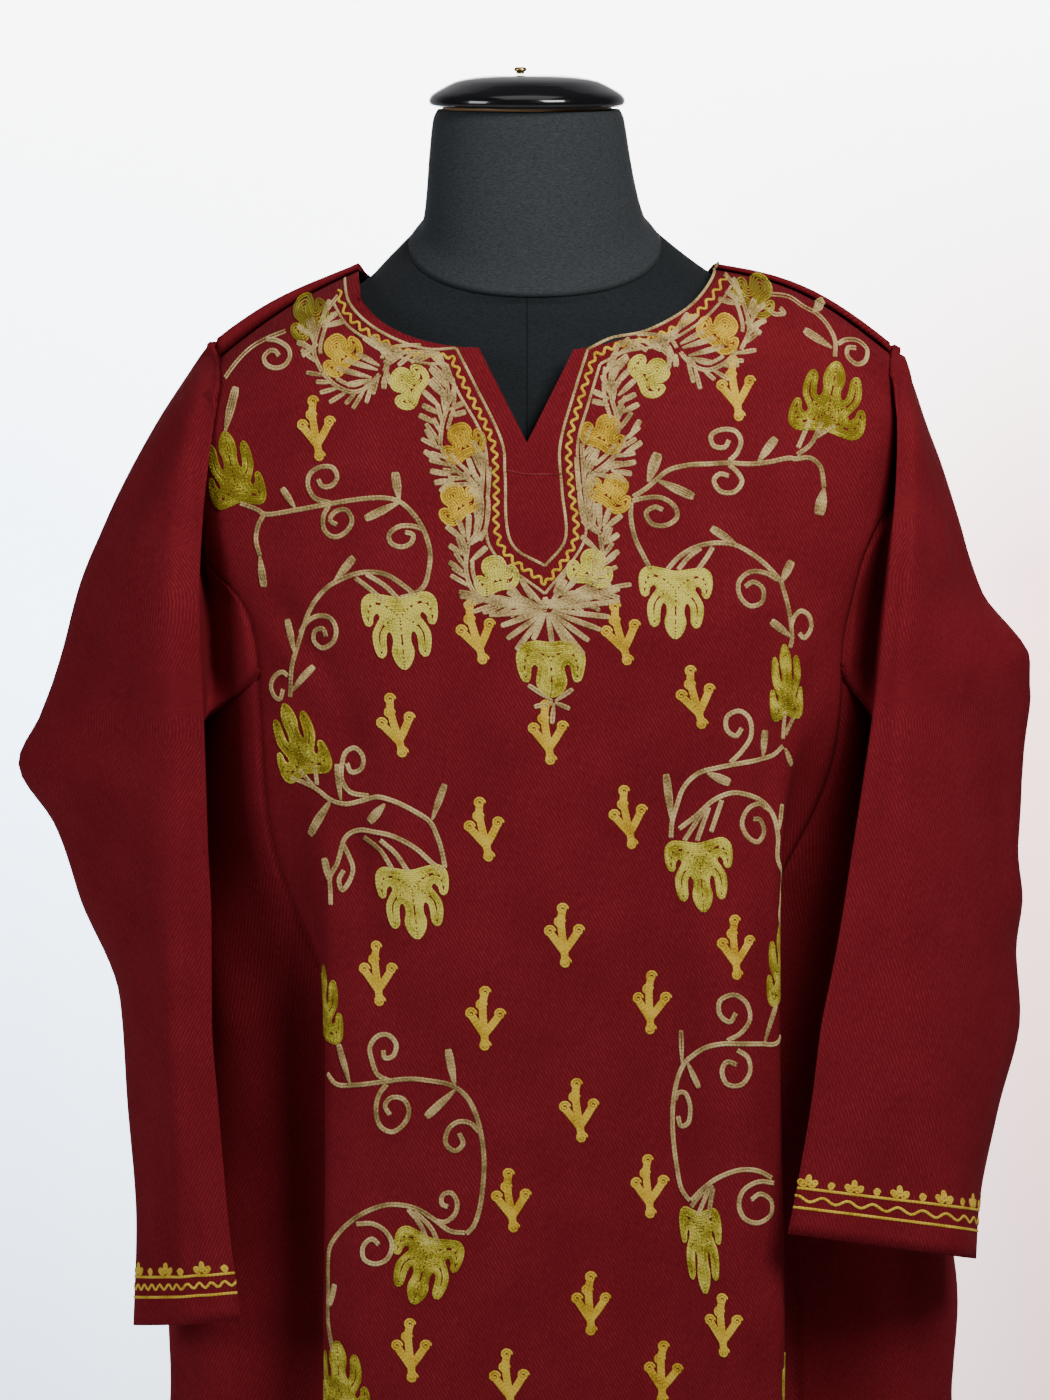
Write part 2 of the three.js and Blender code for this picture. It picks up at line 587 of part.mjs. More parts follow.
// One section of a sleeve. Above the underarm it is open towards the body, and below it
// is closed by an inner face. Returns the outer part and the inner part.
const FOLD_REACH = 6; // the crease turns within this distance of its line
const LONGEST_REACH = 0.4; // and within this share of the way to the next line
const INNER_START = { front: 0.45, back: 0.5 }; // where the inner face leaves the outer one
const LIFT_SHARE = 0.25; // how far the lifted edge moves towards the crease or the rear
const EDGE_LIFT = 3; // a sleeve leaves its armhole edge straight outwards for this far
const OUTER_STEPS = [1, 2, 1, 1, 2, 3, 3, 2, 1];
const INNER_STEPS = 6;
const PEEL = 64; // height over which the inner face leaves the gore under the arm
function sleeveSection(side, sleeve, z) {
  const at = (key) => tableAt(sleeve.rows, key, z);
  const spot = (out, y) => [side.sign * out, y, z];
  const crease = spot(at("creaseOut"), at("creaseY"));
  const ridge = spot(at("ridgeOut"), at("ridgeY"));
  const rim = spot(at("rimOut"), at("rimY"));
  const rear = spot(at("rearOut"), at("rearY"));
  const inner = spot(at("innerOut"), at("innerY"));
  const below = smooth((UNDERARM_Z - z) / PEEL);
  const armZ = Math.max(z, UNDERARM_Z);
  const blend = (a, b, t) => [mix(a[0], b[0], t), mix(a[1], b[1], t), z];
  const frontStart = blend(crease, inner, INNER_START.front);
  const backStart = blend(rear, inner, INNER_START.back);
  const frontEdge = (lifted) => blend(armholePoint("front", side, armZ, lifted), frontStart, below);
  const backEdge = (lifted) => blend(armholePoint("back", side, armZ, lifted), backStart, below);
  const frontEnd = frontEdge(0);
  const frontLift = blend(frontEdge(EDGE_LIFT), crease, LIFT_SHARE * below);
  const backEnd = backEdge(0);
  const backLift = blend(backEdge(EDGE_LIFT), rear, LIFT_SHARE * below);
  const towards = (a, b) => {
    const distance = Math.hypot(b[0] - a[0], b[1] - a[1]);
    return blend(a, b, Math.min(LONGEST_REACH, FOLD_REACH / distance));
  };
  const frontKeys = [frontEnd, frontLift, towards(crease, frontLift), crease, towards(crease, ridge)];
  const outerKeys = [...frontKeys, ridge, rim, rear, backLift, backEnd];
  const outer = threadThrough(outerKeys, OUTER_STEPS, false);
  let innerPart = [];
  if (z <= UNDERARM_Z) {
    const free = threadThrough([backEnd, inner, frontEnd], [INNER_STEPS / 2, INNER_STEPS / 2], false);
    const goreAt = (i) => gorePoint(side, 1 - (i + 1) / INNER_STEPS, z);
    innerPart = free.slice(1, -1).map((p, i) => blend(goreAt(i), p, below));
  }
  // The cuff tilts down towards its outer edge.
  const slopeHeight = sleeve.slopeFromZ - sleeve.rows.at(-1).z;
  const tilt = sleeve.cuffSlope * smooth((sleeve.slopeFromZ - z) / slopeHeight);
  const placed = (p) => {
    const lowered = [p[0], p[1], p[2] - tilt * Math.abs(p[0] - crease[0])];
    return z <= UNDERARM_Z ? clearOfBody(lowered) : lowered;
  };
  return { outer: outer.map(placed), inner: innerPart.map(placed) };
}

// A sleeve as one sheet: rows from the shoulder tip to the cuff.
const SLEEVE_STEP = 27;
const UNDERARM_ROW = 11; // one more row this far under the underarm
function sleeveSheet(name) {
  const side = SIDES[name];
  const sleeve = SLEEVES[name];
  const cuffZ = sleeve.rows.at(-1).z;
  const armholeLevels = [LOW_NECK_Z, ...LOWER_LEVELS.filter((z) => z >= UNDERARM_Z)];
  const under = Math.round((UNDERARM_Z - cuffZ) / SLEEVE_STEP);
  const armLevels = [UNDERARM_Z - UNDERARM_ROW, ...between(UNDERARM_Z, cuffZ, under).slice(1)];
  const levels = [...sleeve.topLevels, ...armholeLevels, ...armLevels];
  const points = [];
  const rows = levels.map((z) => sleeveSection(side, sleeve, z));
  for (const row of rows) {
    row.first = points.length;
    points.push(...row.outer, ...row.inner);
  }
  const faces = [];
  const outerCount = rows[0].outer.length;
  const join = (a, b, c, d) => {
    const quad = side.sign < 0 ? [a, b, c, d] : [d, c, b, a];
    faces.push([quad[0], quad[1], quad[2]], [quad[0], quad[2], quad[3]]);
  };
  for (let r = 0; r + 1 < rows.length; r++) {
    const count = outerCount + rows[r].inner.length;
    const columns = rows[r].inner.length > 0 ? count : outerCount - 1;
    for (let c = 0; c < columns; c++) {
      const next = (c + 1) % count;
      join(rows[r].first + c, rows[r].first + next, rows[r + 1].first + next, rows[r + 1].first + c);
    }
  }
  return { points, faces };
}

// A closed wall from a sheet: the sheet, a copy moved in along its normals, and its edges.
function wallFrom(sheet, thickness) {
  const normals = sheet.points.map(() => new THREE.Vector3());
  const corner = sheet.points.map((p) => new THREE.Vector3(...p));
  for (const [a, b, c] of sheet.faces) {
    const one = corner[b].clone().sub(corner[a]);
    const two = corner[c].clone().sub(corner[a]);
    const normal = one.cross(two);
    for (const i of [a, b, c]) normals[i].add(normal);
  }
  const count = corner.length;
  const inner = corner.map((p, i) => p.clone().addScaledVector(normals[i].normalize(), -thickness));
  const faces = [...sheet.faces, ...sheet.faces.map(([a, b, c]) => [c + count, b + count, a + count])];
  const edges = new Set(sheet.faces.flatMap(([a, b, c]) => [`${a} ${b}`, `${b} ${c}`, `${c} ${a}`]));
  for (const edge of edges) {
    const [a, b] = edge.split(" ").map(Number);
    if (edges.has(`${b} ${a}`)) continue;
    faces.push([b, a, a + count], [b, a + count, b + count]);
  }
  return geometryOf([...corner, ...inner], faces);
}

function geometryOf(vectors, faces) {
  const geometry = new THREE.BufferGeometry().setFromPoints(vectors);
  geometry.setIndex(faces.flat());
  const merged = mergeVertices(geometry, 1e-4);
  merged.computeVertexNormals();
  return merged;
}

// A solid from oval rings, with a flat face over the first and the last.
const RING_POINTS = 28;
const RING_SQUARE = 2.25;
function ovalRing(row) {
  const power = 2 / RING_SQUARE;
  return Array.from({ length: RING_POINTS }, (_, i) => {
    const angle = (i / RING_POINTS) * 2 * Math.PI;
    const x = Math.sign(Math.sin(angle)) * Math.abs(Math.sin(angle)) ** power * row.half;
    const deep = Math.cos(angle) > 0 ? -row.front : row.back;
    const y = deep * Math.abs(Math.cos(angle)) ** power;
    return new THREE.Vector3(row.x + x, y, row.z + row.lean * y);
  });
}

function ringSolid(rows, heights) {
  const keys = ["x", "half", "front", "back", "lean"];
  const rings = heights.map((z) => ovalRing({ z, ...tableRow(rows, keys, z) }));
  const points = rings.flat();
  const faces = [];
  const last = rings.length - 1;
  for (let r = 0; r < last; r++)
    for (let i = 0; i < RING_POINTS; i++) {
      const next = (i + 1) % RING_POINTS;
      const [a, b] = [r * RING_POINTS + i, r * RING_POINTS + next];
      faces.push([a, b, b + RING_POINTS], [a, b + RING_POINTS, a + RING_POINTS]);
    }
  const sumOf = (ring) => ring.reduce((sum, p) => sum.add(p), new THREE.Vector3());
  const middleOf = (ring) => sumOf(ring).divideScalar(RING_POINTS);
  const bottom = points.push(middleOf(rings[0])) - 1;
  const top = points.push(middleOf(rings[last])) - 1;
  for (let i = 0; i < RING_POINTS; i++) {
    const next = (i + 1) % RING_POINTS;
    faces.push([bottom, next, i], [top, last * RING_POINTS + i, last * RING_POINTS + next]);
  }
  return geometryOf(points, faces);
}

// A turned solid from a profile of [radius, height] pairs, standing along Z.
function turned(profile, segments = 32) {
  const geometry = new THREE.LatheGeometry(profile.map(([r, z]) => new THREE.Vector2(r, z)), segments);
  return geometry.rotateX(Math.PI / 2);
}

function meshOf(name, geometry, finish) {
  const mesh = new THREE.Mesh(geometry, new THREE.MeshStandardMaterial(FINISH[finish]));
  mesh.name = name;
  return mesh;
}

function buildGarment() {
  const garment = new THREE.Group();
  garment.add(meshOf("front_panel", wallFrom(panelSheet("front"), CLOTH), "wool"));
  garment.add(meshOf("back_panel", wallFrom(panelSheet("back"), CLOTH), "wool"));
  for (const name of ["left", "right"]) {
    garment.add(meshOf(`side_gore_${name}`, wallFrom(goreSheet(SIDES[name]), CLOTH), "wool"));
    garment.add(meshOf(`sleeve_${name}`, wallFrom(sleeveSheet(name), CLOTH), "wool"));
  }
  return garment;
}

function buildForm() {
  const form = new THREE.Group();
  const torsoLevels = [...TORSO_LOW_LEVELS, ...between(800, 1300, 11), ...TORSO_TOP_LEVELS];
  form.add(meshOf("form_torso", ringSolid(TORSO_ROWS, torsoLevels), "jersey"));
  form.add(meshOf("form_neck", ringSolid(NECK_ROWS, NECK_LEVELS), "jersey"));

  const cap = new THREE.Group();
  cap.position.set(0, CAP.y, CAP.z);
  cap.rotation.x = CAP.tilt;
  const plateTop = PLATE.height;
  const plateProfile = [
    [0, 0],
    [PLATE.radius, 0],
    [PLATE.radius, plateTop],
    [0, plateTop],
  ];
  cap.add(meshOf("neck_plate", turned(plateProfile), "plate"));
  const capFoot = plateTop + SEAM_GAP;
  const capTop = capFoot + CAP.height;
  const capProfile = [
    [0, capFoot],
    [CAP.rimRadius - 3, capFoot],
    [CAP.rimRadius, capFoot + 2],
    [CAP.rimRadius - 1, capFoot + 5],
    [CAP.rimRadius * 0.87, capFoot + CAP.height * 0.55],
    [CAP.rimRadius * 0.73, capFoot + CAP.height * 0.79],
    [CAP.rimRadius * 0.56, capFoot + CAP.height * 0.93],
    [CAP.rimRadius * 0.38, capTop],
    [0, capTop],
  ];
  cap.add(meshOf("neck_cap", turned(capProfile), "gloss"));
  const pegProfile = [
    [0, 0],
    [PEG.shank, 0],
    [PEG.shank, 1.5],
    [PEG.radius, 2],
    [PEG.radius * 0.8, PEG.height],
    [0, PEG.height],
  ];
  const peg = meshOf("cap_peg", turned(pegProfile, 16), "brass");
  peg.position.set(PEG.x, 0, capTop + SEAM_GAP);
  cap.add(peg);
  form.add(cap);
  return form;
}

function buildStand() {
  const stand = new THREE.Group();
  const poleTop = TORSO_ROWS[0].z - SEAM_GAP;
  const poleFoot = BASE.crown + SEAM_GAP;
  const baseProfile = [
    [0, 0],
    [BASE.radius, 0],
    [BASE.radius, BASE.edge - 3],
    [BASE.radius - 3, BASE.edge],
    [BASE.radius * 0.62, 17],
    [BASE.radius * 0.34, 25],
    [BASE.radius * 0.24, BASE.crown],
    [0, BASE.crown],
  ];
  stand.add(meshOf("stand_base", turned(baseProfile, 44), "iron"));
  const poleProfile = [
    [0, poleFoot],
    [POLE.foot, poleFoot],
    [POLE.foot, poleFoot + 14],
    [POLE.radius, poleFoot + 20],
    [POLE.radius, poleTop - POLE.collarHeight],
    [POLE.collarRadius, poleTop - POLE.collarHeight + 6],
    [POLE.collarRadius, poleTop],
    [0, poleTop],
  ];
  stand.add(meshOf("stand_pole", turned(poleProfile, 28), "steel"));
  return stand;
}

const pheranOnForm = new THREE.Group();
pheranOnForm.add(buildGarment(), buildForm(), buildStand());
export default pheranOnForm;
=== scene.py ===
"""A wool pheran with chain-stitch embroidery, worn by a limbless dress form on a pole stand.

Sizes are millimetres until a mesh is made, and metres after that. The front faces -Y, Z is up,
and left and right are the sides as seen from the front. A point of a panel is given by u, its
distance round the cloth from the centre line, and z, its height above the floor.
"""

from __future__ import annotations

import logging
import math
from dataclasses import dataclass, field
from enum import Enum
from typing import Callable

import bpy
import numpy as np
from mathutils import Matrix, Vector

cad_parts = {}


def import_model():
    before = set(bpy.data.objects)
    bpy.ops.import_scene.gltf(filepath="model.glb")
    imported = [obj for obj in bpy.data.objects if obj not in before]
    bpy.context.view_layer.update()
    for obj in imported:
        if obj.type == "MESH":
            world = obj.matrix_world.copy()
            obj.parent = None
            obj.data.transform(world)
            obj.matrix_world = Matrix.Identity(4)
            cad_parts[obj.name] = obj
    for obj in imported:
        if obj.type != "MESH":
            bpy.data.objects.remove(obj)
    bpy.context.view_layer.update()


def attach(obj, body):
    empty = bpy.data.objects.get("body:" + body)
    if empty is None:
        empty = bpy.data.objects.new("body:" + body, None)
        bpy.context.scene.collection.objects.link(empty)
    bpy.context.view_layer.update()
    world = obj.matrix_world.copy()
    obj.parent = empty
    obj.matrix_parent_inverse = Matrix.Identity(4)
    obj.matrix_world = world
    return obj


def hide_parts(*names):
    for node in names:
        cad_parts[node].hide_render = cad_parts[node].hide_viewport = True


MM = 0.001
CLOTH = 1.4
SEAM_GAP = 0.7
HEM_Z = 352.0
UNDERARM_Z = 1168.0
ROLL = 46.0
LOW_NECK_Z = 1272.0
SLIT_TIP_Z = 1306.0
BACK_NECK_DROP = 24.0
SEAM_NECK_Y = 2.0
SEAM_TIP_Y = -2.0
SWING_FROM_Z = 1300.0
SWING_PER_MM = 0.043
TINY = 1e-9

Array = np.ndarray
Colour = tuple[float, float, float]
Socket = bpy.types.NodeSocket
log = logging.getLogger("pheran")


class Face(Enum):
    """The two faces of the body of the garment."""

    FRONT = "front"
    BACK = "back"


class FoldKind(Enum):
    """How a fold of the hanging body is shaped."""

    STEP = "step"
    WAVE = "wave"


def smooth(t: Array) -> Array:
    """A soft step from 0 to 1."""
    c = np.clip(t, 0.0, 1.0)
    return c * c * (3.0 - 2.0 * c)


def mix(a: Array, b: Array, t: Array) -> Array:
    """The value a share t of the way from a to b."""
    return a + (b - a) * t


def unit(vectors: Array) -> Array:
    """The vectors, each brought to a length of 1."""
    return vectors / np.maximum(np.linalg.norm(vectors, axis=-1, keepdims=True), TINY)


def right_of(runs: Array) -> Array:
    """The level directions that lie to the right of the given ones."""
    return np.stack([runs[..., 1], -runs[..., 0]], -1)


def lengths_along(line: Array) -> Array:
    """How far along a line each of its points lies."""
    return np.cumsum(np.linalg.norm(np.diff(line, axis=0, prepend=line[:1]), axis=1))


def places_along(want: Array | float, arc: Array, line: Array) -> Array:
    """The places at the wanted lengths along a flat line whose points lie at the lengths arc."""
    return np.stack([np.interp(want, arc, line[:, k]) for k in (0, 1)], -1)


def spin(degrees: float) -> Array:
    """The turn by an angle, for rows of flat places that are multiplied by it from the right."""
    angle = math.radians(degrees)
    return np.array([[math.cos(angle), math.sin(angle)], [-math.sin(angle), math.cos(angle)]])


def level_angles(count: int) -> Array:
    """Evenly spaced angles of a full turn, in radians."""
    return np.arange(count) / count * 2.0 * math.pi


class Rows:
    """A table with a row for each height, read on a curve that never overshoots its rows."""

    def __init__(self, names: str, *rows: tuple[float, ...]) -> None:
        """Keeps the rows in order of height.

        Args:
            names: the names of the columns after the height.
            rows: the height and then a value for each name.
        """
        data = np.array(sorted(rows), float)
        self.heights = data[:, 0]
        step = np.diff(self.heights)
        self.columns: dict[str, tuple[Array, Array]] = {}
        for i, name in enumerate(names.split()):
            values = data[:, i + 1]
            slopes = np.diff(values) / step
            before, after = slopes[:-1], slopes[1:]
            both = before * after > 0
            total = np.where(both, before + after, 1.0)
            middle = np.where(both, 2.0 * before * after / total, 0.0)
            self.columns[name] = (values, np.concatenate([slopes[:1], middle, slopes[-1:]]))

    def read(self, name: str, z: Array) -> Array:
        """The value of a column at height z.

        Args:
            name: the column.
            z: heights.

        Returns:
            The values, held at the end rows beyond them.
        """
        values, tangents = self.columns[name]
        z = np.clip(np.asarray(z, float), self.heights[0], self.heights[-1])
        i = np.clip(np.searchsorted(self.heights, z, "right") - 1, 0, len(self.heights) - 2)
        h = self.heights[i + 1] - self.heights[i]
        t = (z - self.heights[i]) / h
        t2, t3 = t * t, t * t * t
        return (
            (2 * t3 - 3 * t2 + 1) * values[i]
            + (t3 - 2 * t2 + t) * h * tangents[i]
            + (3 * t2 - 2 * t3) * values[i + 1]
            + (t3 - t2) * h * tangents[i + 1]
        )


@dataclass(frozen=True)
class Side:
    """One side of the garment: its neckline, shoulder seam and the fold behind the seam."""

    sign: int
    neck_x: float
    neck_z: float
    tip_x: float
    tip_z: float
    bow: float
    corner_x: float
    corner_z: float
    curve: float
    lip_neck: float
    lip_tip: float
    edges: Rows

    def edge(self, face: Face, z: Array) -> Array:
        """How far round a panel its side edge lies at height z."""
        return self.edges.read(face.value, z)


LEFT = Side(
    -1, 104, 1402.6, 193, 1346.5, 5, 29, 1362, 2.0, 2.2, 6.5,
    Rows(
        "front back",
        (352, 176, 184), (1168, 176, 184), (1190, 178, 187), (1210, 186, 194),
        (1230, 211, 206), (1250, 232, 218), (1280, 240, 226), (1310, 232, 222),
        (1335, 216, 208), (1346, 206, 202), (1362, 204, 200),
    ),
)
RIGHT = Side(
    1, 116, 1403.5, 226, 1350, 11, 28, 1361, 1.45, 1.6, 3.4,
    Rows(
        "front back",
        (352, 200, 192), (1168, 200, 192), (1190, 203, 195), (1210, 206, 202),
        (1230, 210, 214), (1250, 220, 228), (1280, 252, 244), (1310, 258, 248),
        (1335, 250, 242), (1350, 242, 236), (1362, 240, 234),
    ),
)
SIDES = (LEFT, RIGHT)

BODY_ROWS = Rows(
    "left right front back square",
    (1420, 207, 237, 96, 84, 2.7), (1370, 207, 237, 104, 90, 2.7), (1310, 208, 236, 119, 98, 2.7),
    (1250, 207, 228, 131, 104, 2.6), (1190, 204, 220, 140, 106, 2.6), (1100, 205, 218, 143, 106, 2.5),
    (1000, 207, 224, 146, 109, 2.4), (900, 208, 240, 148, 114, 2.4), (800, 220, 266, 151, 120, 2.4),
    (760, 225, 271, 152, 122, 2.4), (700, 221, 264, 153, 126, 2.4), (500, 227, 267, 158, 134, 2.4),
    (350, 235, 274, 163, 142, 2.4),
)


@dataclass(frozen=True)
class Fold:
    """A fold that runs down the hanging body.

    "at" is its distance round the plain section from the centre of its face. A step folds back
    past its edge over the length edge and eases out again over ease. A wave is a soft ridge,
    or a trough where its depth is below zero, as wide as edge on each side.
    """

    kind: FoldKind
    face: Face
    at: float
    edge: float
    depth: float
    from_z: float
    full_z: float
    ease: float = 0.0


FOLD_ROWS = (
    (FoldKind.STEP, Face.FRONT, (
        (-120, 28, 44, 1110, 915, 88), (153, 28, 46, 1160, 990, 76),
    )),
    (FoldKind.WAVE, Face.FRONT, (
        (-70, 46, 5, 1180, 900), (80, 40, -11, 1180, 900), (120, 34, 7, 1200, 900), (8, 60, -4, 900, 500),
        (-262, 34, 12, 900, 500), (300, 36, 12, 900, 500),
    )),
    (FoldKind.STEP, Face.BACK, (
        (-112, 22, 24, 1120, 760, 90), (126, 22, 28, 1100, 740, 84),
    )),
    (FoldKind.WAVE, Face.BACK, (
        (-48, 40, 9, 1200, 760), (14, 34, -9, 1180, 700), (70, 38, 10, 1150, 720),
    )),
)
FOLDS = [Fold(kind, face, *row) for kind, face, rows in FOLD_ROWS for row in rows]


@dataclass(frozen=True)
class Crease:
    """A soft crease in a panel, from one (u, z) to another, bowed sideways in its middle."""

    face: Face
    start: tuple[float, float]
    end: tuple[float, float]
    width: float
    depth: float
    bow: float = 0.0


CREASE_ROWS = {
    Face.FRONT: (
        (-206, 1400, -196, 1190, 30, 11, 4), (222, 1400, 206, 1190, 30, 9, -4),
        (-176, 1205, -96, 1128, 8, 1.8, 5), (-168, 1226, -120, 1168, 9, -1.6, 4),
        (-172, 1168, -104, 1060, 10, 2.2, -6), (-150, 1190, -92, 1090, 9, -2.0, -6),
        (-118, 1160, -104, 960, 12, -3.2, 5), (-92, 1130, -84, 980, 10, 1.8, 3),
        (-36, 1150, -44, 980, 16, -1.2, 6), (40, 1180, 64, 1010, 12, -1.8, -5),
        (74, 1190, 96, 1030, 10, -2.4, -4), (190, 1214, 118, 1120, 8, 1.7, -5),
        (186, 1182, 124, 1060, 10, -2.2, 6), (172, 1150, 138, 1010, 9, 1.9, 4),
        (104, 1120, 126, 960, 10, -1.8, 5), (20, 1010, 36, 760, 18, -1.8, 8),
        (-60, 900, -48, 640, 16, -1.6, -7), (96, 840, 110, 520, 14, -2.6, 6),
        (-96, 760, -88, 470, 13, 2.0, -6), (48, 690, 40, 400, 18, 2.2, 8),
        (-18, 600, -30, 380, 16, -2.0, 7), (-246, 1120, -232, 820, 18, 3.0, 10),
        (-300, 1090, -310, 700, 20, -3.6, 8), (268, 1110, 252, 800, 18, 3.0, -9),
        (318, 1080, 330, 720, 20, -3.4, 8),
    ),
    Face.BACK: (
        (-178, 1206, -92, 1120, 9, 2.0, 5), (-160, 1180, -100, 1050, 11, -2.4, -6),
        (182, 1210, 98, 1118, 9, 2.0, -5), (166, 1184, 104, 1052, 11, -2.2, 6),
        (-20, 1330, -34, 1120, 16, 1.6, 6), (26, 1320, 36, 1090, 14, -1.8, -6),
        (-90, 1340, -130, 1250, 12, 1.6, 4), (92, 1340, 136, 1246, 12, 1.6, -4),
        (-30, 1000, -20, 700, 16, -2.2, 7), (46, 960, 34, 640, 15, 2.2, -6),
        (-86, 860, -98, 520, 14, 2.4, 6), (92, 820, 104, 480, 15, -2.4, 7), (4, 640, -8, 380, 18, 2.0, 6),
    ),
}
CREASES = [
    Crease(face, row[:2], row[2:4], *row[4:]) for face, rows in CREASE_ROWS.items() for row in rows
]


class WornBody:
    """The body of the garment as it is worn, as a surface of u and z on each face."""

    LOW_Z = 340.0
    HIGH_Z = 1424.0
    LEVEL = 2.0
    POINTS = 720
    REACH_U = 612.0
    STEP_U = 1.5

    def __init__(self) -> None:
        """Works out the section at each level and lays it out by u."""
        self.levels = np.arange(self.LOW_Z, self.HIGH_Z + self.LEVEL, self.LEVEL)
        self.us = np.arange(-self.REACH_U, self.REACH_U + self.STEP_U, self.STEP_U)
        self.line = self._folded_sections()
        closed = np.concatenate([self.line, self.line[:, :1]], 1)
        spans = np.linalg.norm(np.diff(closed, axis=1), axis=2)
        self.lengths = np.concatenate([np.zeros((len(spans), 1)), np.cumsum(spans, 1)], 1)
        self.table: dict[Face, Array] = {}
        swing = np.maximum(0.0, SWING_FROM_Z - self.levels) * SWING_PER_MM
        quarter, half = self.POINTS // 6, self.POINTS // 2
        count = len(self.levels)
        self.centre = {face: np.zeros(count) for face in Face}
        for face in Face:
            self.table[face] = np.zeros((count, len(self.us), 2))
        for i in range(count):
            xs, arcs = self.line[i, :, 0], self.lengths[i]
            self.centre[Face.FRONT][i] = np.interp(swing[i], xs[:quarter], arcs[:quarter])
            rear = slice(half, half - quarter, -1)
            self.centre[Face.BACK][i] = np.interp(swing[i], xs[rear], arcs[:-1][rear])
            for face, sense in ((Face.FRONT, 1.0), (Face.BACK, -1.0)):
                along = (self.centre[face][i] + sense * self.us) % arcs[-1]
                for axis in (0, 1):
                    self.table[face][i, :, axis] = np.interp(along, arcs, closed[i, :, axis])
        self.total = self.lengths[:, -1]
        for face in Face:
            self._press_creases(face)

    def _folded_sections(self) -> Array:
        """The folded section at each level, as points from the front centre round by the right."""
        z = self.levels[:, None]
        row = {name: BODY_ROWS.read(name, z) for name in BODY_ROWS.columns}
        angle = level_angles(self.POINTS)[None, :]
        sine, cosine = np.sin(angle), np.cos(angle)
        power = 2.0 / row["square"]
        x = np.sign(sine) * np.where(sine < 0, row["left"], row["right"]) * np.abs(sine) ** power
        y = np.where(cosine > 0, -row["front"], row["back"]) * np.abs(cosine) ** power
        plain = np.stack([x, y], 2)
        spans = np.linalg.norm(np.roll(plain, -1, 1) - plain, axis=2)
        arcs = np.concatenate([np.zeros((len(spans), 1)), np.cumsum(spans, 1)], 1)
        normal = right_of(unit(np.roll(plain, -1, 1) - np.roll(plain, 1, 1)))
        push = self._fold_push(arcs[:, :-1], arcs[:, -1:], arcs[:, self.POINTS // 2, None], z)
        return plain + normal * push[..., None]

    def _fold_push(self, arc: Array, total: Array, back: Array, z: Array) -> Array:
        """How far the folds push the plain section outwards.

        Args:
            arc: lengths along the section.
            total: length round the section.
            back: length at the centre of the back.
            z: heights.

        Returns:
            The push at each point.
        """
        crest_back, crest_width, crest_height = 16.0, 20.0, 5.0
        push = np.zeros_like(arc)
        for fold in FOLDS:
            share = smooth((fold.from_z - z) / (fold.from_z - fold.full_z))
            along = arc if fold.face is Face.FRONT else back - arc
            along = along - total * np.round(along / total)
            if fold.kind is FoldKind.WAVE:
                t = np.clip(np.abs(along - fold.at) / fold.edge, 0.0, 1.0)
                push = push + fold.depth * share * (0.5 + 0.5 * np.cos(math.pi * t))
                continue
            past = (along - fold.at) * np.sign(fold.at)
            drop = smooth(past / fold.edge) * (1.0 - smooth((past - fold.edge) / fold.ease))
            crest = np.exp(-(((past + crest_back) / crest_width) ** 2))
            push = push - share * (fold.depth * drop - crest_height * crest)
        return push

    def _press_creases(self, face: Face) -> None:
        """Presses the soft creases of one face into its table."""
        table = self.table[face]
        sense = 1.0 if face is Face.FRONT else -1.0
        normal = right_of(unit(np.gradient(table, self.STEP_U, axis=1))) * sense
        grid_u, grid_z = np.meshgrid(self.us, self.levels)
        push = np.zeros_like(grid_u)
        for crease in CREASES:
            if crease.face is not face:
                continue
            start, end = np.array(crease.start), np.array(crease.end)
            run = end - start
            length = float(np.hypot(*run))
            along = ((grid_u - start[0]) * run[0] + (grid_z - start[1]) * run[1]) / length**2
            across = ((grid_u - start[0]) * run[1] - (grid_z - start[1]) * run[0]) / length
            off = across - crease.bow * np.sin(math.pi * np.clip(along, 0.0, 1.0))
            fade = np.sin(math.pi * np.clip(along, 0.0, 1.0)) ** 0.8
            push += crease.depth * fade * np.exp(-((off / crease.width) ** 2))
        self.table[face] = table + normal * push[..., None]

    def _between(self, values: Array, z: Array) -> tuple[Array, Array]:
        """Index of the level below z, and the share of the way to the next."""
        at = np.clip((z - self.LOW_Z) / self.LEVEL, 0.0, len(values) - 1.001)
        low = at.astype(int)
        return low, at - low

    def hanging(self, face: Face, u: Array, z: Array) -> tuple[Array, Array]:
        """The hanging cloth before it rolls in to the shoulders.

        Args:
            face: the face that u is measured on.
            u: distances round the cloth from the centre line.
            z: heights.

        Returns:
            x and y.
        """
        u, z = np.broadcast_arrays(np.asarray(u, float), np.asarray(z, float))
        table = self.table[face]
        row, down = self._between(self.levels, z)
        at = np.clip((u + self.REACH_U) / self.STEP_U, 0.0, len(self.us) - 1.001)
        column = at.astype(int)
        across = (at - column)[..., None]
        low = mix(table[row, column], table[row, column + 1], across)
        high = mix(table[row + 1, column], table[row + 1, column + 1], across)
        both = mix(low, high, down[..., None])
        return both[..., 0], both[..., 1]

    def worn(self, face: Face, u: Array, z: Array) -> Array:
        """The worn cloth: the hanging section, rolled in towards the shoulder seam.

        Args:
            face: the face that u is measured on.
            u: distances round the cloth from the centre line.
            z: heights.

        Returns:
            Points in mm.
        """
        u, z = np.broadcast_arrays(np.asarray(u, float), np.asarray(z, float))
        x, y = self.hanging(face, u, z)
        seam_z, seam_y, lip = shoulder_at(x)
        if face is Face.FRONT:
            top, start = seam_z, seam_y - SEAM_GAP
        else:
            top, start = seam_z + 2.0 * lip, seam_y + lip
        q = np.clip((z - (top - ROLL)) / ROLL, 0.0, 1.0)
        return np.stack([x, start + (y - start) * np.sqrt(np.maximum(0.0, 1.0 - q * q)), z], -1)

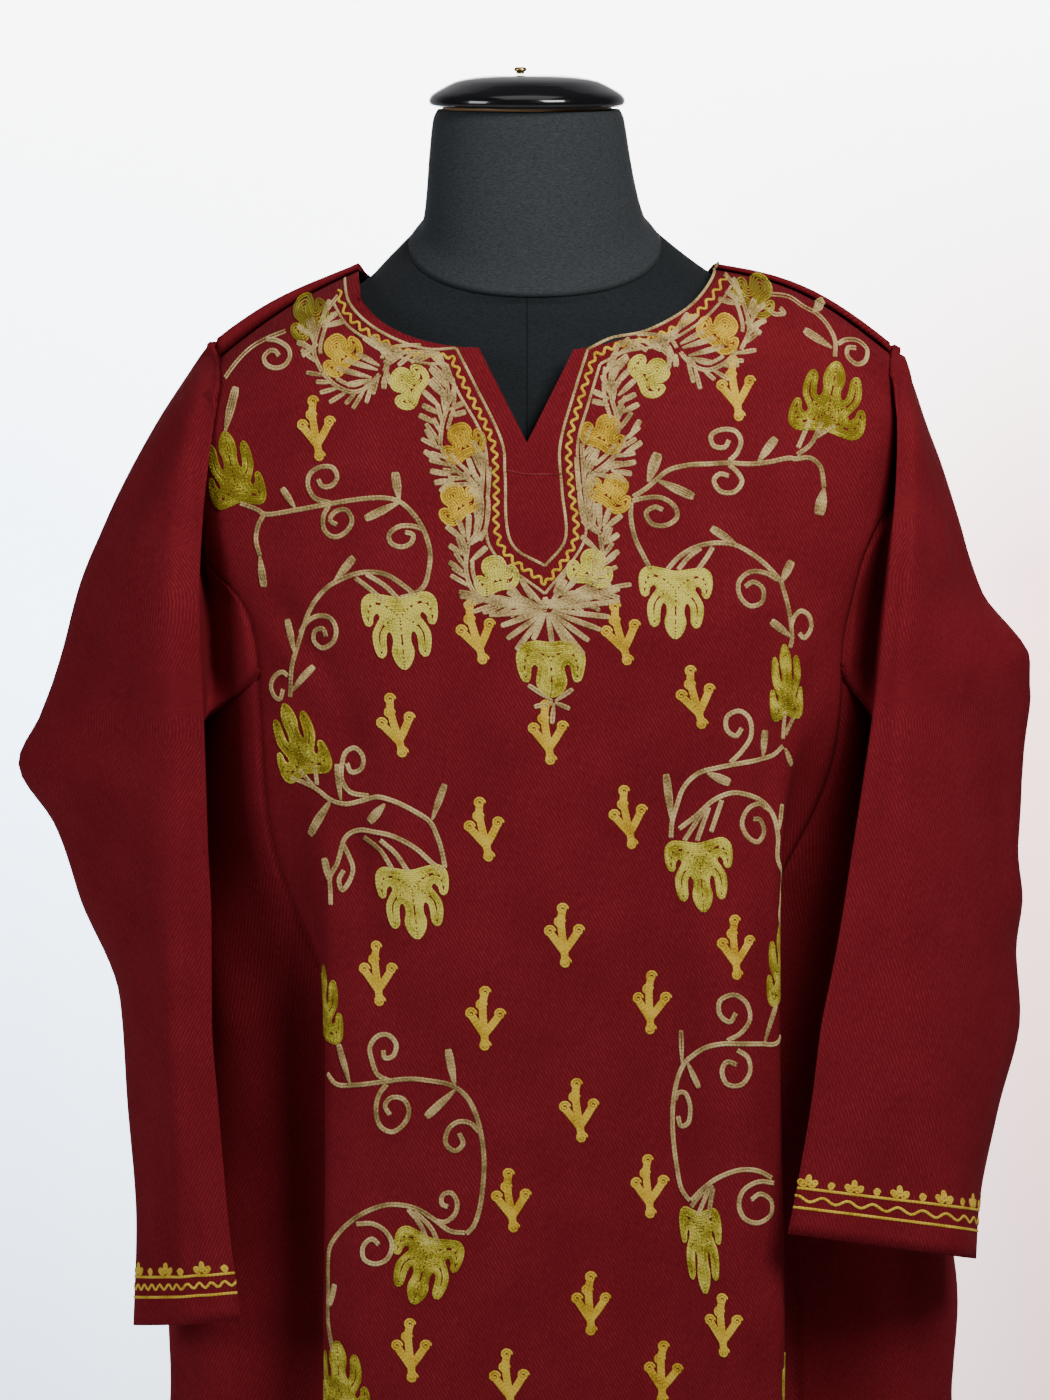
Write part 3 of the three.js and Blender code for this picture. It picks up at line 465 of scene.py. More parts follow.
    def outward(self, face: Face, u: Array, z: Array) -> Array:
        """Unit directions straight out of the worn cloth at (u, z)."""
        reach = 1.2
        across = self.worn(face, u + reach, z) - self.worn(face, u - reach, z)
        down = self.worn(face, u, z + reach) - self.worn(face, u, z - reach)
        normal = np.cross(across, down)
        return unit(-normal if face is Face.BACK else normal)

    def section_line(self, z: Array) -> Array:
        """The closed lines of the hanging body at heights z, before the creases."""
        row, down = self._between(self.levels, z)
        return mix(self.line[row], self.line[row + 1], down[..., None, None])

    def gore_width(self, side: Side, z: Array) -> tuple[Array, Array]:
        """Where a gore starts, as u of the front, and how wide it is."""
        count = self.centre[Face.FRONT]
        span = self.centre[Face.BACK] - count
        half = np.interp(z, self.levels, span if side.sign > 0 else self.total - span)
        start = side.edge(Face.FRONT, z) + SEAM_GAP
        return start, half - start - side.edge(Face.BACK, z) - SEAM_GAP

    def gore(self, side: Side, share: Array, z: Array) -> Array:
        """The point a share of the way round a gore, between its front and its back seam."""
        start, wide = self.gore_width(side, z)
        x, y = self.hanging(Face.FRONT, side.sign * (start + wide * share), z)
        return np.stack([x, y, np.broadcast_to(z, x.shape)], -1)


def shoulder_at(x: Array) -> tuple[Array, Array, Array]:
    """The shoulder seam above x.

    Args:
        x: distances from the centre plane, with their sign.

    Returns:
        Its height, its place front to back, and the radius of the fold behind it.
    """
    found = []
    for side in SIDES:
        t = (np.abs(x) - side.neck_x) / (side.tip_x - side.neck_x)
        held = np.clip(t, 0.0, 1.0)
        z = mix(side.neck_z, side.tip_z, t) + side.bow * np.sin(math.pi * held)
        y = mix(SEAM_NECK_Y, SEAM_TIP_Y, held)
        found.append((z, y, mix(side.lip_neck, side.lip_tip, smooth(t))))
    left = x < 0
    return tuple(np.where(left, a, b) for a, b in zip(*found))


def front_neck_at(x: Array) -> Array:
    """Height of the front neckline at x, or of the slit near the centre."""
    heights = []
    for side in SIDES:
        out = np.abs(x)
        slit = mix(SLIT_TIP_Z, side.corner_z, out / side.corner_x)
        t = np.clip((out - side.corner_x) / (side.neck_x - side.corner_x), 0.0, 1.0)
        curve = mix(side.corner_z, side.neck_z, 1.0 - (1.0 - t**side.curve) ** (1.0 / side.curve))
        heights.append(np.where(out < side.corner_x, slit, curve))
    return np.where(x < 0, heights[0], heights[1])


def back_neck_at(x: Array) -> Array:
    """Height of the back neckline at x."""
    heights = []
    for side in SIDES:
        t = np.clip(np.abs(x) / side.neck_x, 0.0, 1.0)
        heights.append(side.neck_z - BACK_NECK_DROP * np.sqrt(1.0 - t**2.6))
    return np.where(x < 0, heights[0], heights[1])


@dataclass
class Sheet:
    """A grid-like sheet of points with quads, and a flat coordinate for its weave."""

    points: Array
    quads: Array
    flat: Array

    def wall(self, thickness: float) -> "Sheet":
        """The closed wall between the sheet and a copy of it moved inwards.

        Args:
            thickness: thickness of the cloth in mm.

        Returns:
            A sheet that holds both faces and the edges between them.
        """
        corner = self.points[self.quads]
        normal = np.cross(corner[:, 2] - corner[:, 0], corner[:, 3] - corner[:, 1])
        total = np.zeros_like(self.points)
        for k in range(4):
            np.add.at(total, self.quads[:, k], normal)
        count = len(self.points)
        inner = self.points - unit(total) * thickness
        sides = np.concatenate([self.quads[:, [k, (k + 1) % 4]] for k in range(4)])
        forward = sides[:, 0] * count + sides[:, 1]
        free = sides[~np.isin(forward, sides[:, 1] * count + sides[:, 0])]
        rim = np.stack([free[:, 1], free[:, 0], free[:, 0] + count, free[:, 1] + count], 1)
        quads = np.concatenate([self.quads, self.quads[:, ::-1] + count, rim])
        return Sheet(np.concatenate([self.points, inner]), quads, np.concatenate([self.flat] * 2))


def grid_quads(rows: int, columns: int, closed: bool = False) -> Array:
    """Quads of a grid whose points are listed row by row.

    Args:
        rows: number of rows.
        columns: number of points in a row.
        closed: whether each row closes on itself.

    Returns:
        Quads that face away from the side where rows run down and columns run to the right.
    """
    last = columns if closed else columns - 1
    r, c = np.meshgrid(np.arange(rows - 1), np.arange(last), indexing="ij")
    a, b = r * columns + c, r * columns + (c + 1) % columns
    return np.stack([a, a + columns, b + columns, b], -1).reshape(-1, 4)


class Piece:
    """A finished mesh object of the part."""

    def __init__(self, name: str, points: Array, *faces: Array) -> None:
        """Makes the mesh, with all its faces shaded smoothly.

        Args:
            name: name of the piece.
            points: corners in mm.
            faces: tables of corner numbers, each table for faces with the same count of corners.
        """
        self.name = name
        self.loops = np.concatenate([np.asarray(f, np.int32).ravel() for f in faces])
        sizes = np.concatenate([np.full(len(f), f.shape[1], np.int32) for f in faces])
        starts = np.concatenate([[0], np.cumsum(sizes)[:-1]]).astype(np.int32)
        mesh = bpy.data.meshes.new(name)
        mesh.vertices.add(len(points))
        mesh.vertices.foreach_set("co", (np.asarray(points) * MM).astype(np.float32).ravel())
        mesh.loops.add(len(self.loops))
        mesh.loops.foreach_set("vertex_index", self.loops)
        mesh.polygons.add(len(sizes))
        mesh.polygons.foreach_set("loop_start", starts)
        mesh.update(calc_edges=True)
        mesh.polygons.foreach_set("use_smooth", np.ones(len(sizes), bool))
        self.mesh = mesh
        self.object = bpy.data.objects.new(name, mesh)
        bpy.context.scene.collection.objects.link(self.object)

    def map_flat(self, flat: Array) -> "Piece":
        """Gives each corner its place on the flat cloth, in metres, for the weave.

        Args:
            flat: place of each point in mm.

        Returns:
            The piece.
        """
        layer = self.mesh.uv_layers.new(name="flat")
        layer.data.foreach_set("uv", (flat[self.loops] * MM).astype(np.float32).ravel())
        return self

    def paint(self, name: str, values: Array) -> "Piece":
        """Stores a number at each point for the finish to read."""
        attribute = self.mesh.attributes.new(name, "FLOAT", "POINT")
        attribute.data.foreach_set("value", np.asarray(values, np.float32))
        return self

    def dress(self, finish: "Finish", slot: str, *nodes: str) -> "Piece":
        """Gives the piece its finish and fixes it to the frame.

        Args:
            finish: the finish.
            slot: not used.
            nodes: CAD nodes that the piece stands for.

        Returns:
            The piece.
        """
        self.mesh.materials.append(finish.material())
        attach(self.object, "root")
        if nodes:
            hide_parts(*nodes)
        log.info("%s: %d faces", self.name, len(self.mesh.polygons))
        return self


@dataclass(frozen=True)
class Finish:
    """A finish made of shader nodes. Each kind of finish adds its own detail."""

    name: str

    def material(self) -> bpy.types.Material:
        """The material, made once and shared by all pieces that use it."""
        found = bpy.data.materials.get(self.name)
        if found is None:
            found = bpy.data.materials.new(self.name)
            found.use_nodes = True
            self.build(NodeBench(found))
        return found

    def build(self, bench: "NodeBench") -> None:
        """Adds this finish's nodes. A plain finish adds none."""


class NodeBench:
    """Adds shader nodes to a material and joins them."""

    def __init__(self, material: bpy.types.Material) -> None:
        """Keeps the material's node tree and its surface shader."""
        self.tree = material.node_tree
        self.shader = self.tree.nodes["Principled BSDF"]

    def add(
        self, kind: str, inputs: dict[str, object] | None = None, **settings: object
    ) -> bpy.types.Node:
        """Adds a node.

        Args:
            kind: its type, without the leading "ShaderNode".
            inputs: values or sockets for its inputs, by name or number.
            settings: its own properties.

        Returns:
            The node.
        """
        node = self.tree.nodes.new("ShaderNode" + kind)
        for key, value in settings.items():
            setattr(node, key, value)
        for key, value in (inputs or {}).items():
            self.feed(node, key, value)
        return node

    def feed(self, node: bpy.types.Node, key: str | int, value: object) -> None:
        """Sets an input of a node to a value, or joins a socket to it."""
        if isinstance(value, Socket):
            self.tree.links.new(value, node.inputs[key])
        else:
            node.inputs[key].default_value = value

    def surface(self, **values: object) -> None:
        """Sets or joins inputs of the surface shader, named with _ for a space."""
        for key, value in values.items():
            self.feed(self.shader, key.replace("_", " "), value)

    def noise(self, scale: float, detail: float = 2.0, place: Socket | None = None) -> Socket:
        """Soft noise, on the object's own coordinates unless a place is given."""
        source = place or self.add("TexCoord").outputs["Object"]
        node = self.add("TexNoise", {"Vector": source, "Scale": scale, "Detail": detail})
        return node.outputs["Fac"]

    def ramp(self, factor: Socket, *stops: tuple[float, Colour]) -> Socket:
        """A colour read from a factor along colour stops."""
        node = self.add("ValToRGB", {"Fac": factor})
        band = node.color_ramp
        while len(band.elements) < len(stops):
            band.elements.new(0.5)
        for element, (place, colour) in zip(band.elements, stops):
            element.position = place
            element.color = (*colour, 1.0)
        return node.outputs["Color"]

    def math(self, operation: str, a: object, b: object = 0.0) -> Socket:
        """One sum on two numbers."""
        return self.add("Math", {0: a, 1: b}, operation=operation).outputs[0]

    def blend(self, factor: object, a: object, b: object, way: str = "MIX") -> Socket:
        """Two colours mixed by a factor."""
        node = self.add("Mix", data_type="RGBA", blend_type=way)
        for key, value in ((0, factor), (6, a), (7, b)):
            self.feed(node, key, value)
        return node.outputs[2]

    def bump(
        self, height: Socket, strength: float, distance: float, under: object = None
    ) -> Socket:
        """A bump from a height, over another bump where one is given."""
        node = self.add("Bump", {"Height": height, "Strength": strength, "Distance": distance})
        if under is not None:
            self.feed(node, "Normal", under)
        return node.outputs["Normal"]


@dataclass(frozen=True)
class WoolTwill(Finish):
    """Fine wool twill: slanted ribs, fuzzy fibres and a soft nap."""

    deep: Colour = (0.145, 0.0098, 0.0150)
    plain: Colour = (0.235, 0.0180, 0.0260)
    worn: Colour = (0.340, 0.0310, 0.0430)
    ribs_per_metre: float = 500.0

    def build(self, bench: NodeBench) -> None:
        """Adds the weave, the mottle of the dye and the nap."""
        flat = bench.add("UVMap", uv_map="flat").outputs["UV"]
        turned = bench.add("Mapping", {"Vector": flat, "Rotation": (0, 0, math.radians(-28))})
        place = turned.outputs["Vector"]
        fuzz = bench.noise(2600.0, 3.0, flat)
        cloud = bench.noise(26.0, 3.0)
        fibre_place = bench.add("Mapping", {"Vector": place, "Scale": (1500, 260, 1)}).outputs["Vector"]
        fibre = bench.noise(1.0, 2.0, fibre_place)
        scale = self.ribs_per_metre * math.pi / 10.0
        wave = bench.add(
            "TexWave",
            {"Vector": place, "Scale": scale, "Distortion": 1.0, "Detail": 1.0},
            wave_type="BANDS", bands_direction="X",
        ).outputs["Fac"]
        mottle = bench.math("ADD", bench.math("MULTIPLY", fibre, 0.7), bench.math("MULTIPLY", cloud, 0.3))
        colour = bench.ramp(mottle, (0.30, self.deep), (0.52, self.plain), (0.78, self.worn))
        ribbed = bench.blend(bench.math("MULTIPLY", wave, 0.75), colour, (*self.deep, 1.0))
        bench.surface(Base_Color=ribbed, Roughness=0.86)
        bench.surface(IOR=1.12, Specular_IOR_Level=0.3, Sheen_Weight=0.01, Sheen_Roughness=0.40)
        bench.surface(Sheen_Tint=(0.95, 0.42, 0.42, 1.0))
        weave = bench.bump(wave, 0.35, 0.00022)
        bench.surface(Normal=bench.bump(fuzz, 0.25, 0.00018, weave))


@dataclass(frozen=True)
class Yarn(Finish):
    """Matt embroidery wool whose colour drifts along the thread, with painted shade in the low parts of its
    stitches.
    """

    dark: Colour = (0.2, 0.2, 0.2)
    middle: Colour = (0.4, 0.4, 0.4)
    light: Colour = (0.6, 0.6, 0.6)

    def build(self, bench: NodeBench) -> None:
        """Adds the drift of the dye, painted shade at the feet and hollows of the links, stray fibres and the
        ply of the yarn.
        """
        shade = bench.add("Attribute", attribute_name="shade").outputs["Fac"]
        crest = bench.add("Attribute", attribute_name="crest").outputs["Fac"]
        fine = bench.noise(1100.0, 3.0)
        fleck = bench.math("ADD", fine, bench.math("MULTIPLY", bench.noise(150.0, 2.0), 0.3))
        drift = bench.math("ADD", shade, bench.math("MULTIPLY", bench.math("SUBTRACT", fleck, 0.65), 1.9))
        colour = bench.ramp(drift, (0.05, self.dark), (0.5, self.middle), (0.95, self.light))
        # Painted shade: the colour darkens towards a dark groove colour where the crest attribute is low, at
        # the feet of the links and in the hollow at each stitch's start.
        painted_groove_shade = tuple(0.55 * c for c in self.dark)
        sunk = bench.blend(bench.math("POWER", crest, 0.8), (*painted_groove_shade, 1.0), colour)
        bench.surface(Base_Color=sunk, Roughness=0.75, Specular_IOR_Level=0.15)
        bench.surface(Sheen_Weight=0.04, Sheen_Roughness=0.4, Sheen_Tint=(1.0, 0.95, 0.8, 1.0))
        bench.surface(Normal=bench.bump(bench.noise(3600.0, 2.0), 0.5, 0.0002))


@dataclass(frozen=True)
class Jersey(Finish):
    """Matt black stretch cloth of a dress form, with a fine cross grain."""

    deep: Colour = (0.011, 0.013, 0.015)
    plain: Colour = (0.027, 0.032, 0.036)
    seam_depth: float = 0.45

    def build(self, bench: NodeBench) -> None:
        """Adds the knit's cross grain, its slubs and a soft sheen."""
        place = bench.add("TexCoord").outputs["Object"]
        across = bench.add("Mapping", {"Vector": place, "Scale": (420, 420, 1500)}).outputs["Vector"]
        grain = bench.noise(1.0, 3.0, across)
        fine = bench.noise(1500.0, 2.0)
        both = bench.math("ADD", bench.math("MULTIPLY", grain, 0.6), bench.math("MULTIPLY", fine, 0.4))
        from_middle = bench.math("ABSOLUTE", bench.add("SeparateXYZ", {0: place}).outputs["X"])
        seam = bench.math("MULTIPLY", bench.math("LESS_THAN", from_middle, 0.0006), self.seam_depth)
        cloth = bench.ramp(both, (0.3, self.deep), (0.7, self.plain))
        bench.surface(Base_Color=bench.blend(seam, cloth, (0.0, 0.0, 0.0, 1.0)))
        bench.surface(Roughness=0.85, Specular_IOR_Level=0.12, Sheen_Weight=0.02, Sheen_Roughness=0.5)
        bench.surface(Normal=bench.bump(both, 0.3, 0.0004))


@dataclass(frozen=True)
class Lacquer(Finish):
    """Glossy black lacquer with faint wipe marks."""

    colour: Colour = (0.004, 0.004, 0.005)

    def build(self, bench: NodeBench) -> None:
        """Adds a clear coat and marks in its gloss."""
        smear = bench.noise(38.0, 4.0)
        bench.surface(Base_Color=(*self.colour, 1.0), Coat_Weight=0.8, Coat_Roughness=0.06)
        limits = {"Value": smear, "From Min": 0.35, "From Max": 0.75, "To Min": 0.10, "To Max": 0.22}
        rough = bench.add("MapRange", limits)
        bench.surface(Roughness=rough.outputs[0])
        bench.surface(Normal=bench.bump(bench.noise(14.0, 2.0), 0.12, 0.002))


@dataclass(frozen=True)
class TurnedWood(Finish):
    """Brown wood with rings of grain."""

    def build(self, bench: NodeBench) -> None:
        """Adds the grain and a satin varnish."""
        place = bench.add("TexCoord").outputs["Object"]
        layers = bench.add("Mapping", {"Vector": place, "Scale": (30, 30, 2600)}).outputs["Vector"]
        grain = bench.noise(1.0, 3.0, layers)
        stops = ((0.3, (0.20, 0.09, 0.03)), (0.5, (0.42, 0.22, 0.08)), (0.7, (0.62, 0.38, 0.15)))
        colour = bench.ramp(grain, *stops)
        bench.surface(Base_Color=colour, Roughness=0.42, Coat_Weight=0.3, Coat_Roughness=0.25)
        bench.surface(Normal=bench.bump(grain, 0.2, 0.0005))


@dataclass(frozen=True)
class Metal(Finish):
    """A metal with a drift in its colour and fine scratches in its gloss."""

    dark: Colour = (0.05, 0.05, 0.05)
    light: Colour = (0.1, 0.1, 0.1)
    metallic: float = 1.0
    rough: float = 0.35

    def build(self, bench: NodeBench) -> None:
        """Adds tarnish and fine marks."""
        tarnish = bench.noise(45.0, 5.0)
        colour = bench.ramp(tarnish, (0.35, self.dark), (0.65, self.light))
        bench.surface(Base_Color=colour, Metallic=self.metallic)
        marks = {"Value": bench.noise(420.0, 3.0), "To Min": self.rough - 0.1, "To Max": self.rough + 0.15}
        bench.surface(Roughness=bench.add("MapRange", marks).outputs[0])
        bench.surface(Normal=bench.bump(bench.noise(900.0, 2.0), 0.12, 0.0003))


@dataclass(frozen=True)
class Backdrop(Finish):
    """Matt paper that glows behind the garment, cool on one side and warm on the other."""

    cool: Colour = (0.62, 0.78, 1.0)
    middle: Colour = (0.9, 0.9, 0.95)
    warm: Colour = (0.53, 0.33, 0.33)

    def build(self, bench: NodeBench) -> None:
        """Adds a pool of light with the drift of its colour from side to side."""

        def span(
            value: object, low: float, high: float, least: float = 0.0, most: float = 1.0
        ) -> Socket:
            """A value that runs from least to most between two limits."""
            limits = {"Value": value, "From Min": low, "From Max": high, "To Min": least, "To Max": most}
            return bench.add("MapRange", limits).outputs[0]

        place = bench.add("TexCoord").outputs["Object"]
        axes = bench.add("SeparateXYZ", {0: place}).outputs
        stops = ((0.05, self.cool), (0.5, self.middle), (0.95, self.warm))
        tint = bench.ramp(span(axes["X"], -0.55, 0.55), *stops)
        colour = bench.blend(span(axes["Z"], 1.0, 1.55), tint, (1.0, 1.0, 1.0, 1.0))
        beside_it = span(bench.math("ABSOLUTE", axes["X"]), 0.85, 0.60)
        within = bench.math("MULTIPLY", span(axes["Z"], 2.05, 1.70), span(axes["Z"], 0.05, 0.20))
        pool = bench.math("MULTIPLY", beside_it, within)
        strength = bench.math("MULTIPLY", pool, span(axes["Z"], 0.2, 0.95, 2.6, 7.6))
        bench.surface(Base_Color=(0.8, 0.8, 0.82, 1.0), Roughness=0.95, Specular_IOR_Level=0.1)
        bench.surface(Emission_Color=colour, Emission_Strength=strength)
        behind = bench.add("NewGeometry").outputs["Backfacing"]
        clear = bench.add("BsdfTransparent").outputs[0]
        paper = bench.add("MixShader", {0: behind, 1: bench.shader.outputs[0], 2: clear}).outputs[0]
        bench.feed(bench.tree.nodes["Material Output"], "Surface", paper)


WOOL = WoolTwill("wool_twill")
JERSEY = Jersey("jersey_knit")
# Painted light: a lighter copy of the jersey for the form's neck, standing in for the light that falls on it.
NECK_LIGHT_JERSEY = Jersey("neck_painted_light_jersey_knit", (0.026, 0.030, 0.033), (0.068, 0.077, 0.084), 0.0)


@dataclass
class Panel:
    """The front or the back of the garment, from its neckline and shoulders to the hem."""

    body: WornBody
    face: Face
    slit_columns: int = 9
    neck_columns: int = 22
    shoulder_columns: int = 24
    upper_rows: int = 36
    row_height: float = 6.0
    pucker: float = 0.35
    sew_depth: float = 1.1
    lip_from: float = -0.5
    lip_to: float = -1.4
    lip_rows: int = 14
    lip_rise: float = 1.2
    lip_cloth: float = 12.0
    top_tries: int = 24

    def column_u(self, side: Side, share: Array, z: Array) -> Array:
        """u of a column at height z."""
        return side.sign * share * (side.edge(self.face, z) - SEAM_GAP / 2.0)

    def tops(self, side: Side, share: Array) -> tuple[Array, Array]:
        """The height where each column starts, at the neckline or the shoulder seam, and its x."""
        neckline = front_neck_at if self.face is Face.FRONT else back_neck_at
        z = np.full(len(share), side.corner_z)
        for _ in range(self.top_tries):
            x = self.body.hanging(self.face, self.column_u(side, share, z), z)[0]
            goal = np.where(np.abs(x) < side.neck_x, neckline(x), shoulder_at(x)[0])
            z = mix(z, goal, 0.7)
        return z, self.body.hanging(self.face, self.column_u(side, share, z), z)[0]

    def shares(self, side: Side) -> Array:
        """Shares of the half width where columns stand, with one at each corner of the neckline."""
        trial = np.linspace(0.0, 1.0, 2001)
        out = np.abs(self.tops(side, trial)[1])
        corner = float(np.interp(side.corner_x, out, trial))
        neck = float(np.interp(side.neck_x, out, trial))
        parts = [
            np.linspace(0.0, corner, self.slit_columns, endpoint=False),
            np.linspace(corner, neck, self.neck_columns, endpoint=False),
            np.linspace(neck, 1.0, self.shoulder_columns),
        ]
        return np.concatenate(parts)

    def half(self, side: Side) -> tuple[Array, Array]:
        """The columns of one side: their points and their flat places, as rows by columns."""
        share = self.shares(side)
        top, top_x = self.tops(side, share)
        on_shoulder = np.abs(top_x) >= side.neck_x - 1e-6
        seam_z, seam_y, lip = shoulder_at(top_x)
        start = top.copy()
        rows, flats = [], []
        if self.face is Face.BACK:
            start = np.where(on_shoulder, seam_z + 2.0 * lip, top)
            for turn in np.linspace(self.lip_from, self.lip_to, self.lip_rows):
                angle = turn * math.pi
                y = seam_y + lip + lip * math.cos(angle)
                z = seam_z + lip + SEAM_GAP + lip * math.sin(angle)
                at = (turn - self.lip_from) / (self.lip_to - self.lip_from)
                level = top + self.lip_rise * (1.0 - at)
                plain = self.body.worn(self.face, self.column_u(side, share, top), top)
                arc = np.stack([top_x, y, z], -1)
                hem = np.stack([plain[:, 0], plain[:, 1], level], -1)
                rows.append(np.where(on_shoulder[:, None], arc, hem))
                flat_z = start + self.lip_cloth * (1.0 - at)
                flats.append(np.stack([self.column_u(side, share, top), flat_z], -1))
        ease = np.linspace(0.0, 1.0, self.upper_rows) ** 1.9
        levels = [mix(start, LOW_NECK_Z, t) for t in ease]
        lower = np.linspace(LOW_NECK_Z, HEM_Z, int((LOW_NECK_Z - HEM_Z) / self.row_height) + 1)[1:]
        levels += [np.full(len(share), z) for z in lower]
        for z in levels:
            u = self.column_u(side, share, z)
            rows.append(self.body.worn(self.face, u, z) + self.sewn_in(side, u, z))
            flats.append(np.stack([u, z], -1))
        return np.array(rows), np.array(flats)

    def sewn_in(self, side: Side, u: Array, z: Array) -> Array:
        """How a panel dips into its side seam and puckers along it."""
        from_edge = np.maximum(0.0, self.body_edge(side, z) - np.abs(u))
        dip = -self.sew_depth * np.exp(-((from_edge / 1.6) ** 2))
        wave = np.sin(z / 1.9 + 0.8 * np.sin(z / 7.0)) * np.exp(-((from_edge / 9.0) ** 2))
        push = dip + self.pucker * wave * smooth(from_edge / 2.0)
        return self.body.outward(self.face, u, z) * push[..., None]

    def body_edge(self, side: Side, z: Array) -> Array:
        """u of the panel's side edge, without its sign."""
        return side.edge(self.face, z) - SEAM_GAP / 2.0

    def sheet(self) -> Sheet:
        """The whole panel as one sheet that faces away from the body."""
        left, left_flat = self.half(LEFT)
        right, right_flat = self.half(RIGHT)
        points = np.concatenate([left[:, :0:-1], right], 1)
        flat = np.concatenate([left_flat[:, :0:-1], right_flat], 1)
        quads = grid_quads(*points.shape[:2])
        if self.face is Face.BACK:
            quads = quads[:, ::-1]
        return Sheet(points.reshape(-1, 3), quads, flat.reshape(-1, 2))


@dataclass
class Gore:
    """A side gore, from the front seam round to the back seam under the arm."""

    body: WornBody
    side: Side
    columns: int = 58
    row_height: float = 8.0
    tuck: float = 2.6
    sunk: float = 1.7

    def sheet(self) -> Sheet:
        """The gore as one sheet that faces away from the body."""
        levels = np.linspace(UNDERARM_Z, HEM_Z, int((UNDERARM_Z - HEM_Z) / self.row_height) + 1)
        middle = np.linspace(0.05, 0.95, self.columns - 16)
        share = np.concatenate([np.linspace(0, 0.05, 9)[:-1], middle, np.linspace(0.95, 1, 9)[1:]])
        rows, flats = [], []
        for z in levels:
            wide = float(self.body.gore_width(self.side, np.array([z]))[1][0])
            spread = -self.tuck + share * (wide + 2.0 * self.tuck)
            line = self.body.gore(self.side, spread / wide, np.full(self.columns, z))
            along = np.gradient(line, axis=0)
            level = np.concatenate([right_of(along), np.zeros((self.columns, 1))], 1)
            normal = unit(level * self.side.sign)
            from_edge = np.minimum(spread, wide - spread)
            wave = np.sin(z / 1.9) * np.exp(-((from_edge / 9.0) ** 2)) * smooth(from_edge / 2.0)
            push = 0.3 * wave - self.sunk * (1.0 - smooth((from_edge - 0.4) / 3.2))
            rows.append(line + normal * push[:, None])
            flats.append(np.stack([spread, np.full(self.columns, z)], -1))
        points, flat = np.array(rows), np.array(flats)
        quads = grid_quads(*points.shape[:2])
        if self.side.sign < 0:
            quads = quads[:, ::-1]
        return Sheet(points.reshape(-1, 3), quads, flat.reshape(-1, 2))


def threaded(keys: Array, steps: tuple[int, ...]) -> Array:
    """A smooth open curve through key points, for many sections at once.

    Args:
        keys: key points, as sections by points by axes.
        steps: number of steps from each key point to the next.

    Returns:
        The points of the curves, as sections by points by axes.
    """
    ahead = 2 * keys[:, :1] - keys[:, 1:2]
    behind = 2 * keys[:, -1:] - keys[:, -2:-1]
    keys = np.concatenate([ahead, keys, behind], 1)
    parts = []
    for i, count in enumerate(steps):
        p0, p1, p2, p3 = (keys[:, i + k, None] for k in range(4))
        steps_apart = (p1 - p0, p2 - p1, p3 - p2)
        gaps = [np.sqrt(np.linalg.norm(step, axis=-1, keepdims=True)) for step in steps_apart]
        d0, d1, d2 = (np.maximum(gap, 0.03) for gap in gaps)
        m1 = ((p1 - p0) / d0 - (p2 - p0) / (d0 + d1) + (p2 - p1) / d1) * d1
        m2 = ((p2 - p1) / d1 - (p3 - p1) / (d1 + d2) + (p3 - p2) / d2) * d1
        t = (np.arange(count) / count)[None, :, None]
        cubic = 2 * p1 - 2 * p2 + m1 + m2
        square = 3 * (p2 - p1) - 2 * m1 - m2
        parts.append(p1 + m1 * t + square * t**2 + cubic * t**3)
    return np.concatenate([*parts, keys[:, -2:-1]], 1)


@dataclass(frozen=True)
class Wrinkle:
    """A soft wrinkle in a sleeve, from one (share round its outer face, z) to another."""

    start: tuple[float, float]
    end: tuple[float, float]
    width: float
    depth: float


def wrinkles(*rows: tuple[float, ...]) -> tuple[Wrinkle, ...]:
    """Wrinkles from rows of the share and z of their start and end, their width and their depth."""
    return tuple(Wrinkle(row[:2], row[2:4], *row[4:]) for row in rows)


